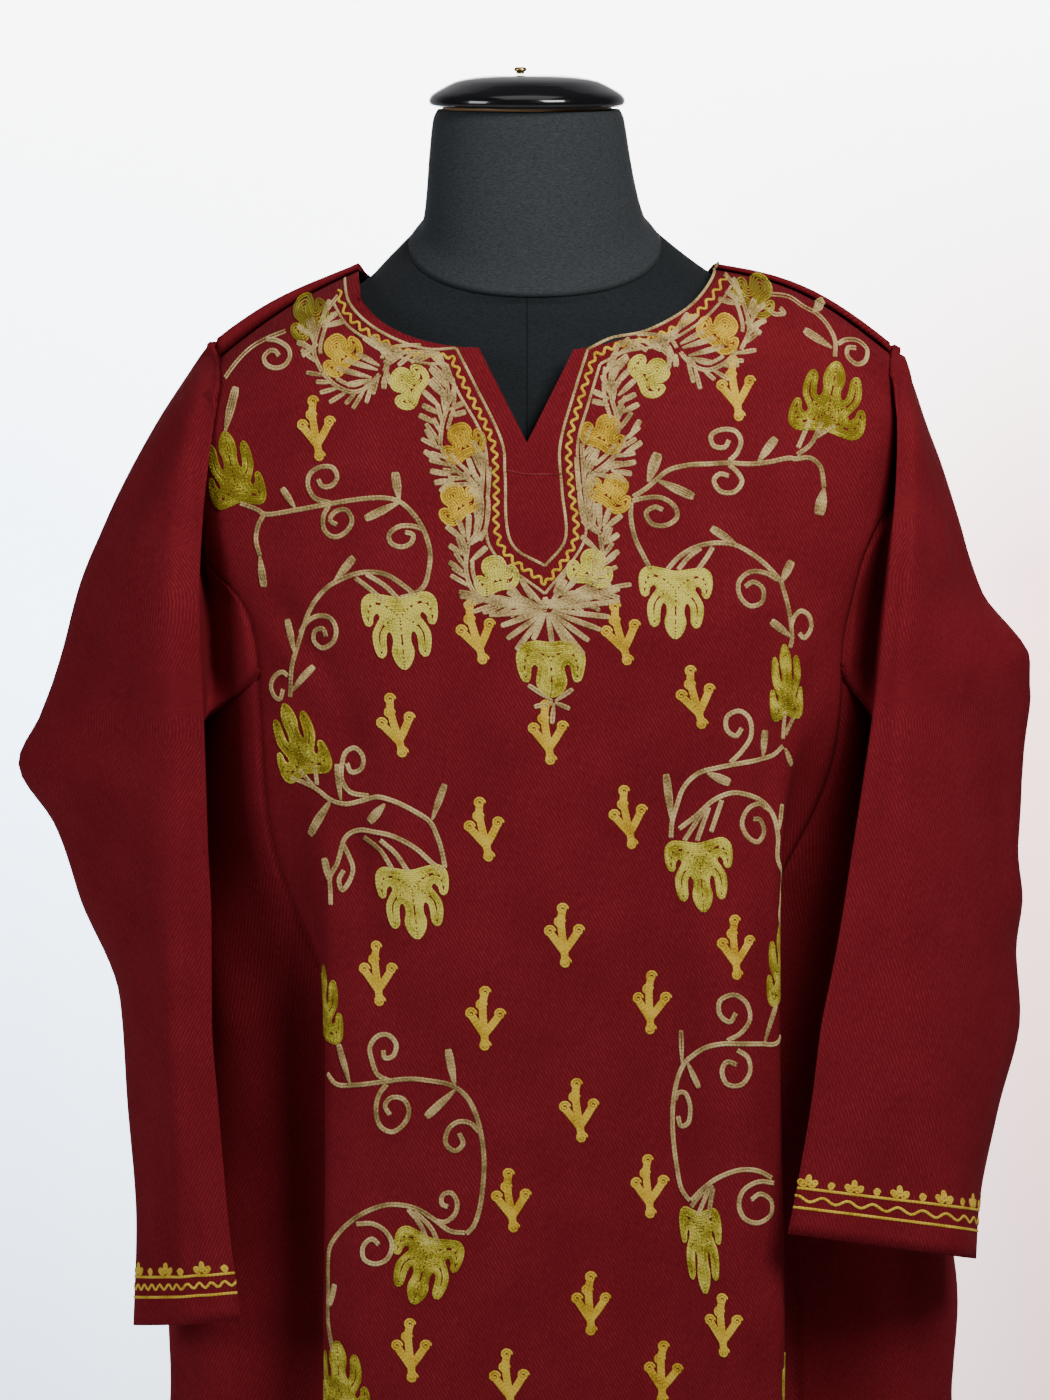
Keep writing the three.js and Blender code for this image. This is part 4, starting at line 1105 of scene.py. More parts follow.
@dataclass
class Sleeve:
    """A hanging sleeve, flattened, with a fold down its front and an open cuff."""

    body: WornBody
    side: Side
    rows: Rows
    cuff_z: float
    cuff_slope: float
    slope_from: float
    tops: tuple[float, ...]
    wrinkles: tuple[Wrinkle, ...]
    gap: float = 1.9
    lift: float = 3.0
    tuck: float = 2.4
    sunk: float = 1.6
    reach: float = 6.0
    clearance: float = 2.8
    cuff_fall: tuple[float, float] = (0.48, 0.82)
    peel: float = 44.0
    outer_steps: tuple[int, ...] = (2, 2, 5, 5, 4, 4, 5, 12, 16, 6, 2, 2)
    inner_steps: int = 16
    row_height: float = 7.0

    def armhole(self, face: Face, z: Array, gap: float, lifted: float) -> Array:
        """The armhole's edge moved outwards by a gap, and straight off the panel's face by a lift."""
        edge = self.side.edge(face, z) - SEAM_GAP / 2.0
        tip = self.body.worn(face, self.side.sign * edge, z)[:, :2]
        back = self.body.worn(face, self.side.sign * edge * 0.94, z)[:, :2]
        along = unit(tip - back)
        turn = lifted * self.side.sign * (1.0 if face is Face.FRONT else -1.0)
        plain = tip + along * gap + right_of(along) * turn
        if face is Face.BACK:
            return plain
        side = self.side
        rise = z - (side.tip_z + side.lip_tip + SEAM_GAP)
        hollow = np.sqrt(np.maximum(0.0, side.lip_tip**2 - rise**2))
        over_x = np.full(len(z), side.sign * (side.tip_x + gap + lifted / 2.0))
        over = np.stack([over_x, SEAM_TIP_Y + side.lip_tip - hollow - lifted], 1)
        return np.where((z > side.tip_z - 1.0)[:, None], over, plain)

    def sections(self, z: Array) -> tuple[Array, Array]:
        """The sections at heights z, as outer parts and inner parts of x, y and z."""
        spot = {}
        for key in ("crease", "ridge", "rim", "rear", "inner"):
            out, y = self.rows.read(key + "_out", z), self.rows.read(key + "_y", z)
            spot[key] = np.stack([self.side.sign * out, y], 1)
        below = smooth((UNDERARM_Z - z) / self.peel)[:, None]
        arm_z = np.maximum(z, UNDERARM_Z)
        crease, ridge, rim, rear, inner = spot.values()

        def front(gap: float, lifted: float) -> Array:
            """The front edge, at the armhole and below it."""
            return mix(self.armhole(Face.FRONT, arm_z, gap, lifted), mix(crease, inner, 0.45), below)

        def back(gap: float, lifted: float) -> Array:
            """The back edge, at the armhole and below it."""
            return mix(self.armhole(Face.BACK, arm_z, gap, lifted), mix(rear, inner, 0.5), below)

        def towards(a: Array, b: Array) -> Array:
            """Points a short way from a towards b."""
            far = np.linalg.norm(b - a, axis=1, keepdims=True)
            return mix(a, b, np.minimum(0.4, self.reach / far))

        front_lift = mix(front(self.gap, self.lift), crease, 0.25 * below)
        back_lift = mix(back(self.gap, self.lift), rear, 0.25 * below)
        front_turn = mix(front(0.9, -0.9), mix(front_lift, front(-self.tuck, -self.sunk), 0.4), below)
        back_turn = mix(back(0.9, -0.9), mix(back_lift, back(-self.tuck, -self.sunk), 0.4), below)
        sink = smooth((1300.0 - z) / 90.0)[:, None] * (1.0 - below)
        hollow = mix(front_lift, crease, 0.55 + 0.2 * sink) + np.array([self.side.sign * 2.0, 37.0]) * sink
        front_lift = mix(front_lift, front(2.0, -0.3), sink)
        keys = [
            front(-self.tuck, -self.sunk), front_turn, front_lift, hollow, towards(crease, hollow), crease,
            towards(crease, ridge), ridge, rim, rear, back_lift, back_turn, back(-self.tuck, -self.sunk),
        ]
        outer = threaded(np.stack(keys, 1), self.outer_steps)
        half = self.inner_steps // 2
        ends = (back(-self.tuck, -self.sunk), front(-self.tuck, -self.sunk))
        free = threaded(np.stack([ends[0], inner, ends[1]], 1), (half, half))[:, 1:-1]
        share = 1.0 - np.arange(1, self.inner_steps) / self.inner_steps
        under = np.minimum(z, UNDERARM_Z)[:, None]
        levels = np.broadcast_to(under, (len(z), len(share)))
        against = self.body.gore(self.side, share[None, :], levels)[..., :2]
        hidden = mix(against, free, below[..., None])
        slope = smooth((self.slope_from - z) / (self.slope_from - self.cuff_z)) * self.cuff_slope
        parts = []
        for part in (outer, hidden):
            away = np.abs(part - crease[:, None]) @ np.array(self.cuff_fall)
            drop = slope[:, None] * away
            parts.append(np.concatenate([part, (z[:, None] - drop)[..., None]], 2))
        return parts[0], parts[1]

    def clear_of_body(self, row: Array, clearance: float) -> Array:
        """Moves points that are inside the hanging cloth, or too near it, to a clear distance."""
        line = self.body.section_line(row[:, 2])
        gap = np.linalg.norm(line - row[:, None, :2], axis=2)
        near = np.argmin(gap, 1)
        pick = np.arange(len(row))
        count = line.shape[1]
        normal = right_of(unit(line[pick, (near + 1) % count] - line[pick, near - 1]))
        outside = np.sum((row[:, :2] - line[pick, near]) * normal, 1)
        push = np.maximum(0.0, clearance - outside)
        moved = row.copy()
        moved[:, :2] += normal * push[:, None]
        return moved

    def sheet(self) -> Sheet:
        """The sleeve as one sheet, with rows from the shoulder tip to the cuff."""
        under = np.arange(UNDERARM_Z, LOW_NECK_Z, self.row_height)[::-1]
        tops = np.array(self.tops)
        low = np.linspace(UNDERARM_Z, self.cuff_z, int((UNDERARM_Z - self.cuff_z) / self.row_height) + 1)[1:]
        z = np.concatenate([tops, under, [UNDERARM_Z - 2.0], low])
        z = np.unique(z)[::-1]
        outer, inner = self.shape(z)
        wide, deep = outer.shape[1], inner.shape[1]
        points = np.concatenate([outer, inner], 1)
        arc = np.cumsum(np.linalg.norm(np.diff(points, axis=1, prepend=points[:, :1]), axis=2), 1)
        flat = np.stack([arc, np.broadcast_to(z[:, None], arc.shape)], -1)
        rows = len(z)
        closed = z <= UNDERARM_Z
        quads = grid_quads(rows, wide + deep, closed=True).reshape(rows - 1, wide + deep, 4)
        keep = np.ones((rows - 1, wide + deep), bool)
        keep[~closed[:-1], wide - 1:] = False
        quads = quads[keep]
        if self.side.sign < 0:
            quads = quads[:, ::-1]
        used = np.unique(quads)
        renumber = np.full(points.shape[0] * points.shape[1], -1)
        renumber[used] = np.arange(len(used))
        return Sheet(points.reshape(-1, 3)[used], renumber[quads], flat.reshape(-1, 2)[used])

    def shape(self, z: Array) -> tuple[Array, Array]:
        """The finished sections at heights z: their outer parts and their inner parts."""
        outer, inner = self.sections(z)
        steps = self.outer_steps
        free = slice(steps[0] + steps[1], -steps[-1] - steps[-2])
        for i in np.flatnonzero(z <= 1330.0):
            outer[i, free] = self.clear_of_body(outer[i, free], self.clearance)
        for i in np.flatnonzero(z <= UNDERARM_Z):
            gap = mix(-self.sunk, self.clearance, float(smooth((UNDERARM_Z - z[i]) / 30.0)))
            outer[i] = self.clear_of_body(outer[i], gap)
            inner[i] = self.clear_of_body(inner[i], gap)
        return outer + self.wrinkled(outer), inner

    def wrinkled(self, outer: Array) -> Array:
        """How the wrinkles move the outer part."""
        normal = unit(np.cross(np.gradient(outer, axis=0), np.gradient(outer, axis=1)) * self.side.sign)
        arc = np.cumsum(np.linalg.norm(np.diff(outer, axis=1, prepend=outer[:, :1]), axis=2), 1)
        whole = arc[:, -1:]
        push = np.zeros(arc.shape)
        for wrinkle in self.wrinkles:
            (s0, z0), (s1, z1) = wrinkle.start, wrinkle.end
            run_s, run_z = (s1 - s0) * whole, z1 - z0
            length = np.sqrt(run_s**2 + run_z**2)
            away_s, away_z = arc - s0 * whole, outer[..., 2] - z0
            along = (away_s * run_s + away_z * run_z) / length**2
            across = (away_s * run_z - away_z * run_s) / length
            fade = np.sin(math.pi * np.clip(along, 0.0, 1.0))
            push += wrinkle.depth * fade * np.exp(-((across / wrinkle.width) ** 2))
        hold = smooth(np.minimum(arc, whole - arc) / 12.0)
        return normal * (push * hold)[..., None]


SLEEVE_NAMES = "crease_out crease_y ridge_out ridge_y rim_out rim_y rear_out rear_y inner_out inner_y"
SLEEVE_LEFT_ROWS = Rows(
    SLEEVE_NAMES,
    (1358, 195.4, -1, 196, 3, 196.4, 10, 195.2, 16, 0, 0),
    (1349, 189, -30, 197, -14, 203, 5, 199, 26, 0, 0),
    (1337, 187, -62, 201, -46, 211, 0, 205, 38, 0, 0),
    (1311, 190, -83, 207, -74, 228, -4, 215, 50, 0, 0),
    (1257, 196, -96, 214, -95, 257, -5, 226, 58, 0, 0),
    (1210, 198, -106, 217, -108, 276, -8, 236, 56, 0, 0),
    (1168, 197, -110, 218, -113, 288, -10, 242, 46, 209, -14),
    (1130, 195, -111, 218, -114, 300, -10, 244, 36, 210, -24),
    (1098, 194, -112, 217, -115, 316, -10, 244, 26, 210, -32),
    (1062, 193, -114, 216, -117, 295, -12, 241, 10, 211, -42),
    (1016, 191, -116, 216, -119, 279, -18, 238, -6, 212, -52),
    (957, 191, -118, 216, -120, 252, -30, 231, -22, 212, -55),
    (900, 187, -121, 212, -121, 247, -48, 229, -42, 211, -66),
    (830, 181, -126, 208, -122, 241, -66, 225, -62, 206, -83),
    (772, 174, -130, 206, -122, 243, -74, 223, -74, 200, -91),
)
SLEEVE_RIGHT_ROWS = Rows(
    SLEEVE_NAMES,
    (1356, 227.2, 2, 227.8, 4, 228.8, 7, 228.3, 12, 0, 0),
    (1347, 222, -38, 228, -24, 233, 1, 231, 24, 0, 0),
    (1334, 223, -66, 232, -50, 238.5, -1, 236, 34, 0, 0),
    (1312, 224, -82, 236, -74, 246, 0, 242, 46, 0, 0),
    (1283, 223, -92, 235, -88, 257, 0, 247, 53, 0, 0),
    (1249, 220, -103, 233, -104, 268, 0, 251, 56, 0, 0),
    (1203, 215, -112, 229, -117, 282, -7, 258, 52, 0, 0),
    (1162, 211, -117, 226, -122, 312, -10, 265, 42, 224, -16),
    (1100, 202, -126, 226, -131, 306, -15, 265, 22, 223, -34),
    (1050, 194, -133, 228, -137, 306, -21, 265, 6, 225, -50),
    (1018, 189, -137, 231, -140, 309, -25, 265, -4, 228, -60),
    (986, 183, -141, 236, -142, 303, -30, 265, -14, 230, -70),
    (957, 177, -145, 241, -145, 305, -36, 266, -26, 233, -80),
    (910, 171, -150, 248, -147, 290, -52, 267, -46, 235, -94),
    (863, 163, -155, 254, -147, 277, -70, 262, -66, 232, -106),
    (832, 157, -159, 260, -145, 273, -82, 256, -80, 226, -116),
)
LEFT_WRINKLES = wrinkles(
    (0.30, 1300, 0.42, 1180, 9, 2.2), (0.36, 1320, 0.52, 1230, 10, -2.0), (0.26, 1180, 0.48, 1110, 8, 2.4),
    (0.28, 1140, 0.52, 1092, 7, -2.6), (0.27, 1104, 0.50, 1070, 7, 2.2), (0.30, 1060, 0.50, 1090, 7, -1.8),
    (0.34, 1040, 0.42, 930, 10, -2.2), (0.28, 960, 0.36, 830, 9, 1.8), (0.42, 900, 0.46, 780, 7, -2.2),
    (0.36, 880, 0.39, 768, 6, 1.8), (0.30, 860, 0.32, 766, 6, -2.0), (0.24, 850, 0.25, 768, 6, 1.4),
    (0.62, 1240, 0.72, 1060, 14, 3.0), (0.76, 1180, 0.66, 980, 12, -2.6),
)
RIGHT_WRINKLES = wrinkles(
    (0.34, 1310, 0.44, 1190, 9, 2.0), (0.44, 1280, 0.54, 1180, 9, -1.8), (0.26, 1190, 0.50, 1130, 8, 2.2),
    (0.30, 1150, 0.52, 1110, 8, -2.4), (0.30, 1060, 0.52, 1030, 8, 2.0), (0.32, 1030, 0.54, 1000, 7, -2.0),
    (0.30, 1000, 0.46, 900, 10, 1.8), (0.40, 960, 0.50, 850, 10, -1.8), (0.26, 930, 0.32, 836, 9, -1.5),
    (0.62, 1230, 0.74, 1040, 14, 3.0), (0.78, 1150, 0.66, 960, 12, -2.4), (0.60, 960, 0.66, 850, 10, 2.0),
)


@dataclass
class DressForm:
    """The limbless dress form with its neck, made as solids from oval rings."""

    sides: int = 144
    square: float = 2.25

    def ring_points(self, rows: Rows, levels: Array) -> Array:
        """Oval rings at the levels, as levels by points by axes."""
        z = levels[:, None]
        row = {name: rows.read(name, z) for name in rows.columns}
        angle = level_angles(self.sides)[None, :]
        power = 2.0 / self.square
        x = np.sign(np.sin(angle)) * np.abs(np.sin(angle)) ** power * row["half"]
        depth = np.where(np.cos(angle) > 0, -row["front"], row["back"])
        y = depth * np.abs(np.cos(angle)) ** power
        return np.stack([row["x"] + x, y, z + row["lean"] * y], -1)

    def build(self, name: str, rows: Rows, levels: Array, node: str, cover: Jersey) -> Piece:
        """A closed smooth solid from rings, dressed as jersey."""
        points = self.ring_points(rows, levels)
        count = len(levels)
        quads = grid_quads(count, self.sides, closed=True)[:, ::-1]
        flat_points = points.reshape(-1, 3)
        middles = np.stack([points[0].mean(0), points[-1].mean(0)])
        i = np.arange(self.sides)
        j = (i + 1) % self.sides
        last = (count - 1) * self.sides
        foot = np.stack([np.full(self.sides, count * self.sides), j, i], 1)
        head = np.stack([np.full(self.sides, count * self.sides + 1), last + i, last + j], 1)
        piece = Piece(name, np.concatenate([flat_points, middles]), quads, np.concatenate([foot, head]))
        return piece.dress(cover, "form_jersey", node)


TORSO_ROWS = Rows(
    "x half front back lean",
    (762, 0, 132, 92, 86, 0), (772, 0, 146, 102, 96, 0), (850, 0, 154, 106, 99, 0),
    (930, 0, 146, 100, 92, 0), (1010, 0, 126, 94, 80, 0), (1100, 0, 138, 112, 86, 0),
    (1180, 2, 156, 127, 93, 0), (1250, 5, 172, 119, 93, 0), (1310, 10, 182, 105, 88, 0.02),
    (1340, 13, 180, 95, 78, 0.02), (1358, 14, 170, 89, 70, 0.03), (1374, 14, 150, 84, 64, 0.05),
    (1387, 12, 125.8, 81, 61, 0.09), (1397, 10, 108, 79, 60, 0.16), (1407, 7, 94, 78, 60, 0.26),
    (1419, 5, 78, 78, 60, 0.36),
)
NECK_ROWS = Rows(
    "x half front back lean",
    (1419.4, 5, 78, 79, 60, 0.36), (1425, 5, 74, 76.5, 58, 0.34), (1432, 4.5, 69, 74, 56.5, 0.3),
    (1450, 3, 65, 71, 54, 0.2), (1476, 1.5, 61.5, 68, 50, 0.08), (1497, 1, 58.5, 66, 46, 0.02),
    (1502, 1, 56, 63, 43, 0.01),
)


def turned(
    name: str,
    profile: tuple[tuple[float, float], ...],
    place: tuple[float, float, float] = (0, 0, 0),
    tilt: float = 0.0,
    sides: int = 96,
    bevel: float = 0.0,
) -> Piece:
    """A solid turned about an upright axis.

    Args:
        name: name of the piece.
        profile: radius and height pairs from the middle of its foot to the middle of its top.
        place: where its foot stands.
        tilt: how far it leans back, in radians.
        sides: number of flats round it.
        bevel: how far its corners are rounded off.

    Returns:
        The piece, with no finish yet.
    """
    whole = np.array(profile, float)
    line = []
    for before, at, after in zip(whole[:-2], whole[1:-1], whole[2:]):
        if bevel <= 0:
            line.append(at)
            continue
        for other in (before, after):
            run = other - at
            line.append(at + run * min(0.45, bevel / max(np.hypot(*run), 1e-6)))
    line = np.array(line)
    angle = level_angles(sides)
    x = line[:, :1] * np.sin(angle)
    y = -line[:, :1] * np.cos(angle)
    z = np.broadcast_to(line[:, 1:], x.shape)
    lean, upright = math.sin(tilt), math.cos(tilt)
    ring = np.stack([x, y * upright - z * lean, y * lean + z * upright], -1) + np.array(place)
    count = len(line)
    i = np.arange(sides)
    j = (i + 1) % sides
    last = (count - 1) * sides
    quads = grid_quads(count, sides, closed=True)[:, ::-1]
    return Piece(name, ring.reshape(-1, 3), quads, i[::-1][None, :], (last + i)[None, :])


THREAD = 1.5
STITCH_STEPS = 3
STITCH = 2.4
LINE_STEP = 0.6


@dataclass
class Skein:
    """Chain-stitched lines of one yarn, gathered and then made into one mesh.

    Lines are given on the flat cloth, in mm, and laid on it by a function that returns points
    and the directions straight out of the cloth.
    """

    lay: Callable[[Array], tuple[Array, Array]]
    lines: list[Array] = field(default_factory=list)
    shades: list[float] = field(default_factory=list)
    widths: list[float] = field(default_factory=list)

    def sew(self, line: Array, shade: float = 0.5, width: float = THREAD) -> None:
        """Adds one line of stitches."""
        line = np.asarray(line, float)
        if len(line) > 1:
            self.lines.append(line)
            self.shades.append(shade)
            self.widths.append(width)

    def _stitched(self) -> tuple[Array, Array, Array]:
        """Evenly spaced places along all lines, with each line's number and the place in a stitch."""
        places, counts = [], []
        for line in self.lines:
            arc = lengths_along(line)
            fine = max(2, int(arc[-1] / LINE_STEP))
            places.append(places_along(np.linspace(0.0, arc[-1], fine), arc, line))
            counts.append(fine)
        flat = np.concatenate(places)
        points = self.lay(flat)[0]
        jump = np.linalg.norm(np.diff(points, axis=0, prepend=points[:1]), axis=1)
        first = np.concatenate([[0], np.cumsum(counts)[:-1]])
        jump[first] = 1e-6
        arc = np.cumsum(jump)
        want, owner, phase = [], [], []
        for k, (start, count) in enumerate(zip(first, counts)):
            run = arc[start + count - 1] - arc[start]
            number = max(2, int(round(run / STITCH)) * STITCH_STEPS + 1)
            want.append(np.linspace(arc[start], arc[start + count - 1], number))
            owner.append(np.full(number, k))
            phase.append(np.arange(number) % STITCH_STEPS)
        want = np.concatenate(want)
        return places_along(want, arc, flat), np.concatenate(owner), np.concatenate(phase)

    def piece(self, name: str) -> Piece:
        """The mesh of all lines, as raised links with a hollow at the start of each stitch, and painted shade
        at their feet and hollows.
        """
        spots, owner, phase = self._stitched()
        points, normal = self.lay(spots)
        count = len(points)
        number = np.arange(count)
        after = np.where((number + 1 < count) & (np.roll(owner, -1) == owner), number + 1, number)
        before = np.where((number > 0) & (np.roll(owner, 1) == owner), number - 1, number)
        tangent = unit(points[np.minimum(after, count - 1)] - points[before])
        across = unit(np.cross(normal, tangent))
        end = (after == number) | (before == number)
        width = np.array(self.widths)[owner] * np.array([0.84, 1.0, 0.97])[phase] / 2.0
        width = np.where(end, width * 0.55, width)
        crest = np.array([0.42, 0.64, 0.60])[phase]
        middle = np.array([0.16, 0.50, 0.56])[phase]
        across_at = (-1.0, -0.56, 0.0, 0.56, 1.0)
        # Painted shade, stored as the crest attribute: lower at the feet of each link and lowest in the
        # hollow at a stitch's start, where the yarn colour is darkened.
        foot, rim, crown = np.full(count, -0.05), np.full(count, 0.6), np.full(count, 0.95)
        heights = (foot, crest, middle, crest, foot)
        painted_light_share = (rim, crown, np.array([0.35, 0.85, 0.95])[phase], crown, rim)
        rows = [
            points + across * (width * a)[:, None] + normal * h[:, None]
            for a, h in zip(across_at, heights)
        ]
        wide = len(rows)
        here = number[after != number] * wide
        ahead = here + wide
        quads = [np.stack([here + k, ahead + k, ahead + k + 1, here + k + 1], 1) for k in range(wide - 1)]
        u, v = spots[:, 0], spots[:, 1]
        drift = 0.16 * np.sin(u * 0.31 + 1.3 * np.sin(v * 0.17)) + 0.14 * np.sin(v * 0.45 + u * 0.22)
        shade = np.array(self.shades)[owner] + drift
        made = Piece(name, np.stack(rows, 1).reshape(-1, 3), np.concatenate(quads)[:, ::-1])
        return made.paint("shade", np.repeat(shade, wide)).paint("crest", np.stack(painted_light_share, 1).ravel())


def pairs(text: str) -> Array:
    """Points from a chart line such as "240,503 258,510"."""
    return np.array([[float(v) for v in spot.split(",")] for spot in text.split()])


def curved(keys: Array, closed: bool = False, steps: int = 10) -> Array:
    """A smooth line through key points on the flat cloth."""
    if closed:
        keys = np.concatenate([keys[-2:], keys, keys[:3]])
        return threaded(keys[None], (steps,) * (len(keys) - 1))[0][2 * steps:-2 * steps]
    return threaded(keys[None], (steps,) * (len(keys) - 1))[0]


def beside(line: Array, offset: Array | float) -> Array:
    """A line moved sideways by an offset at each of its points."""
    return line - right_of(unit(np.gradient(line, axis=0))) * np.reshape(offset, (-1, 1))


def level_lines(heights: Array, level: float) -> list[Array]:
    """Closed lines, in grid steps, along which a grid of heights crosses a level."""
    above = heights > level
    square = above[:-1, :-1] + above[:-1, 1:].astype(int) + above[1:, 1:] + above[1:, :-1]
    links: dict[tuple[int, int, int], list] = {}
    for r, c in zip(*np.nonzero((square > 0) & (square < 4))):
        around = (
            ((0, r, c), above[r, c] != above[r, c + 1]),
            ((1, r, c + 1), above[r, c + 1] != above[r + 1, c + 1]),
            ((0, r + 1, c), above[r + 1, c] != above[r + 1, c + 1]),
            ((1, r, c), above[r, c] != above[r + 1, c]),
        )
        met = [edge for edge, crossed in around if crossed]
        for a, b in zip(met[::2], met[1::2]):
            links.setdefault(a, []).append(b)
            links.setdefault(b, []).append(a)
    lines = []
    while links:
        edge = next(iter(links))
        walk = [edge]
        while edge in links:
            onward = links.pop(edge)
            left = [e for e in onward if e in links]
            if not left:
                break
            edge = left[0]
            walk.append(edge)
        spots = []
        for kind, r, c in walk:
            a = heights[r, c]
            b = heights[r, c + 1] if kind == 0 else heights[r + 1, c]
            t = (level - a) / (b - a)
            spots.append((c + t, r) if kind == 0 else (c, r + t))
        lines.append(np.array(spots + spots[:1]))
    return lines


def filled(outline: Array, spacing: float = 1.22, first: float = 0.62) -> list[Array]:
    """Rows of stitching that fill an outline, each one inside the last.

    Args:
        outline: a closed line of points in mm.
        spacing: distance from row to row.
        first: how far inside the outline the first row lies.

    Returns:
        The rows.
    """
    step = 0.4
    low = outline.min(0) - step
    size = ((outline.max(0) + step - low) / step).astype(int) + 2
    x, y = np.meshgrid(low[0] + np.arange(size[0]) * step, low[1] + np.arange(size[1]) * step)
    spot = np.stack([x, y], -1)[:, :, None]
    a, b = outline, np.roll(outline, -1, 0)
    run = b - a
    t = np.clip(((spot - a) * run).sum(-1) / np.maximum((run * run).sum(-1), 1e-9), 0.0, 1.0)
    away = np.linalg.norm(spot - a - t[..., None] * run, axis=-1).min(-1)
    crosses = (a[:, 1] > y[..., None]) != (b[:, 1] > y[..., None])
    rise = np.where(np.abs(run[:, 1]) < 1e-9, 1e-9, run[:, 1])
    at = a[:, 0] + (y[..., None] - a[:, 1]) / rise * run[:, 0]
    inside = (crosses & (x[..., None] < at)).sum(-1) % 2 == 1
    depth = np.where(inside, away, -away)
    rows = []
    for k in range(40):
        level = first + k * spacing
        if level > depth.max() - 0.1:
            break
        for line in level_lines(depth, level):
            if len(line) > 8:
                eased = (line[:-1] + np.roll(line[:-1], 1, 0) + np.roll(line[:-1], -1, 0)) / 3.0
                rows.append(np.concatenate([eased, eased[:1]])[::2] * step + low)
    return rows


def mirrored(half: str) -> Array:
    """A closed outline from its right half, listed from the middle of its top down to its tip."""
    keys = pairs(half)
    other = keys[-2:0:-1] * (-1.0, 1.0)
    return curved(np.concatenate([keys, other]), closed=True, steps=5)


BIG_LEAF = filled(mirrored(
    "0,0 9,1.6 17,2.4 21.4,-1 22.4,-8 20.6,-15.4 18.4,-16.6 16.2,-14.8 15.6,-11.2 13.2,-9 11.8,-11"
    " 14.2,-15 16.8,-20 17,-27 14.6,-34 12,-34.8 9.6,-32 9.2,-25.5 8.4,-21 6.9,-19.8 5.6,-22"
    " 5.4,-26 6.6,-30.5 5.6,-36 2.6,-40.6 0,-42"
))
BELL = filled(mirrored(
    "0,0 9,0.8 17,-1.6 20.6,-8 19.6,-18 17,-23.6 13.8,-24 12.2,-20 11.6,-15.4 9.8,-13.6 8,-15.4"
    " 8.8,-20 9.2,-25 6,-31 0,-33.4"
))
BLOOM = filled(curved(pairs(
    "-7.5,-8.5 0,-7.4 7.5,-8 11.5,-4.4 12.2,0.8 9.8,4.6 6.9,3.4 5.9,0.8 7.3,5 5.6,9.6 0.5,11.2"
    " -4.2,9.8 -6.3,5.5 -5.3,1.2 -7.6,3 -10.6,2.8 -12.4,-1 -11,-6"
), closed=True, steps=5))
PETAL = filled(curved(pairs("0,0.4 2,3.4 1.8,6.4 0,8 -1.8,6.4 -2,3.4"), closed=True, steps=4), 1.0, 0.6)


@dataclass(frozen=True)
class LeafSpot:
    """Where a large leaf is sewn: its stalk end on the chart, its turn and its size."""

    x: float
    y: float
    turn: float = 0.0
    wide: float = 1.0
    long: float = 1.0
    shade: float = 0.5


LEAVES = [LeafSpot(*row) for row in (
    (398, 597, 3, 1.04, 1.04, 0.92), (410, 870, 4, 1.0, 1.0, 0.75), (432, 1238, -18, 0.96, 1.02, 0.45),
    (676, 571, -3, 1.0, 0.97, 0.92), (698, 843, 4, 0.92, 1.0, 0.6), (699, 1212, 2, 0.6, 1.2, 0.5),
    (240, 503, 190, 0.80, 1.04, 0.15), (308, 774, 198, 0.82, 1.06, 0.3), (824, 431, 168, 1.08, 1.0, 0.2),
    (786, 716, 182, 0.55, 1.06, 0.35), (313, 1036, 176, 0.8, 1.05, 0.3), (781, 998, 186, 0.7, 1.08, 0.35),
    (338, 1412, 180, 0.9, 1.05, 0.4),
)]
LOWER_LEAVES = [LeafSpot(*row) for row in (
    (444, 1640, -8, 1.0, 1.05, 0.5), (700, 1610, 6, 0.94, 1.05, 0.55), (792, 1420, 184, 0.8, 1.05, 0.3),
    (340, 1790, 180, 0.9, 1.05, 0.35), (790, 1790, 182, 0.8, 1.05, 0.4),
)]
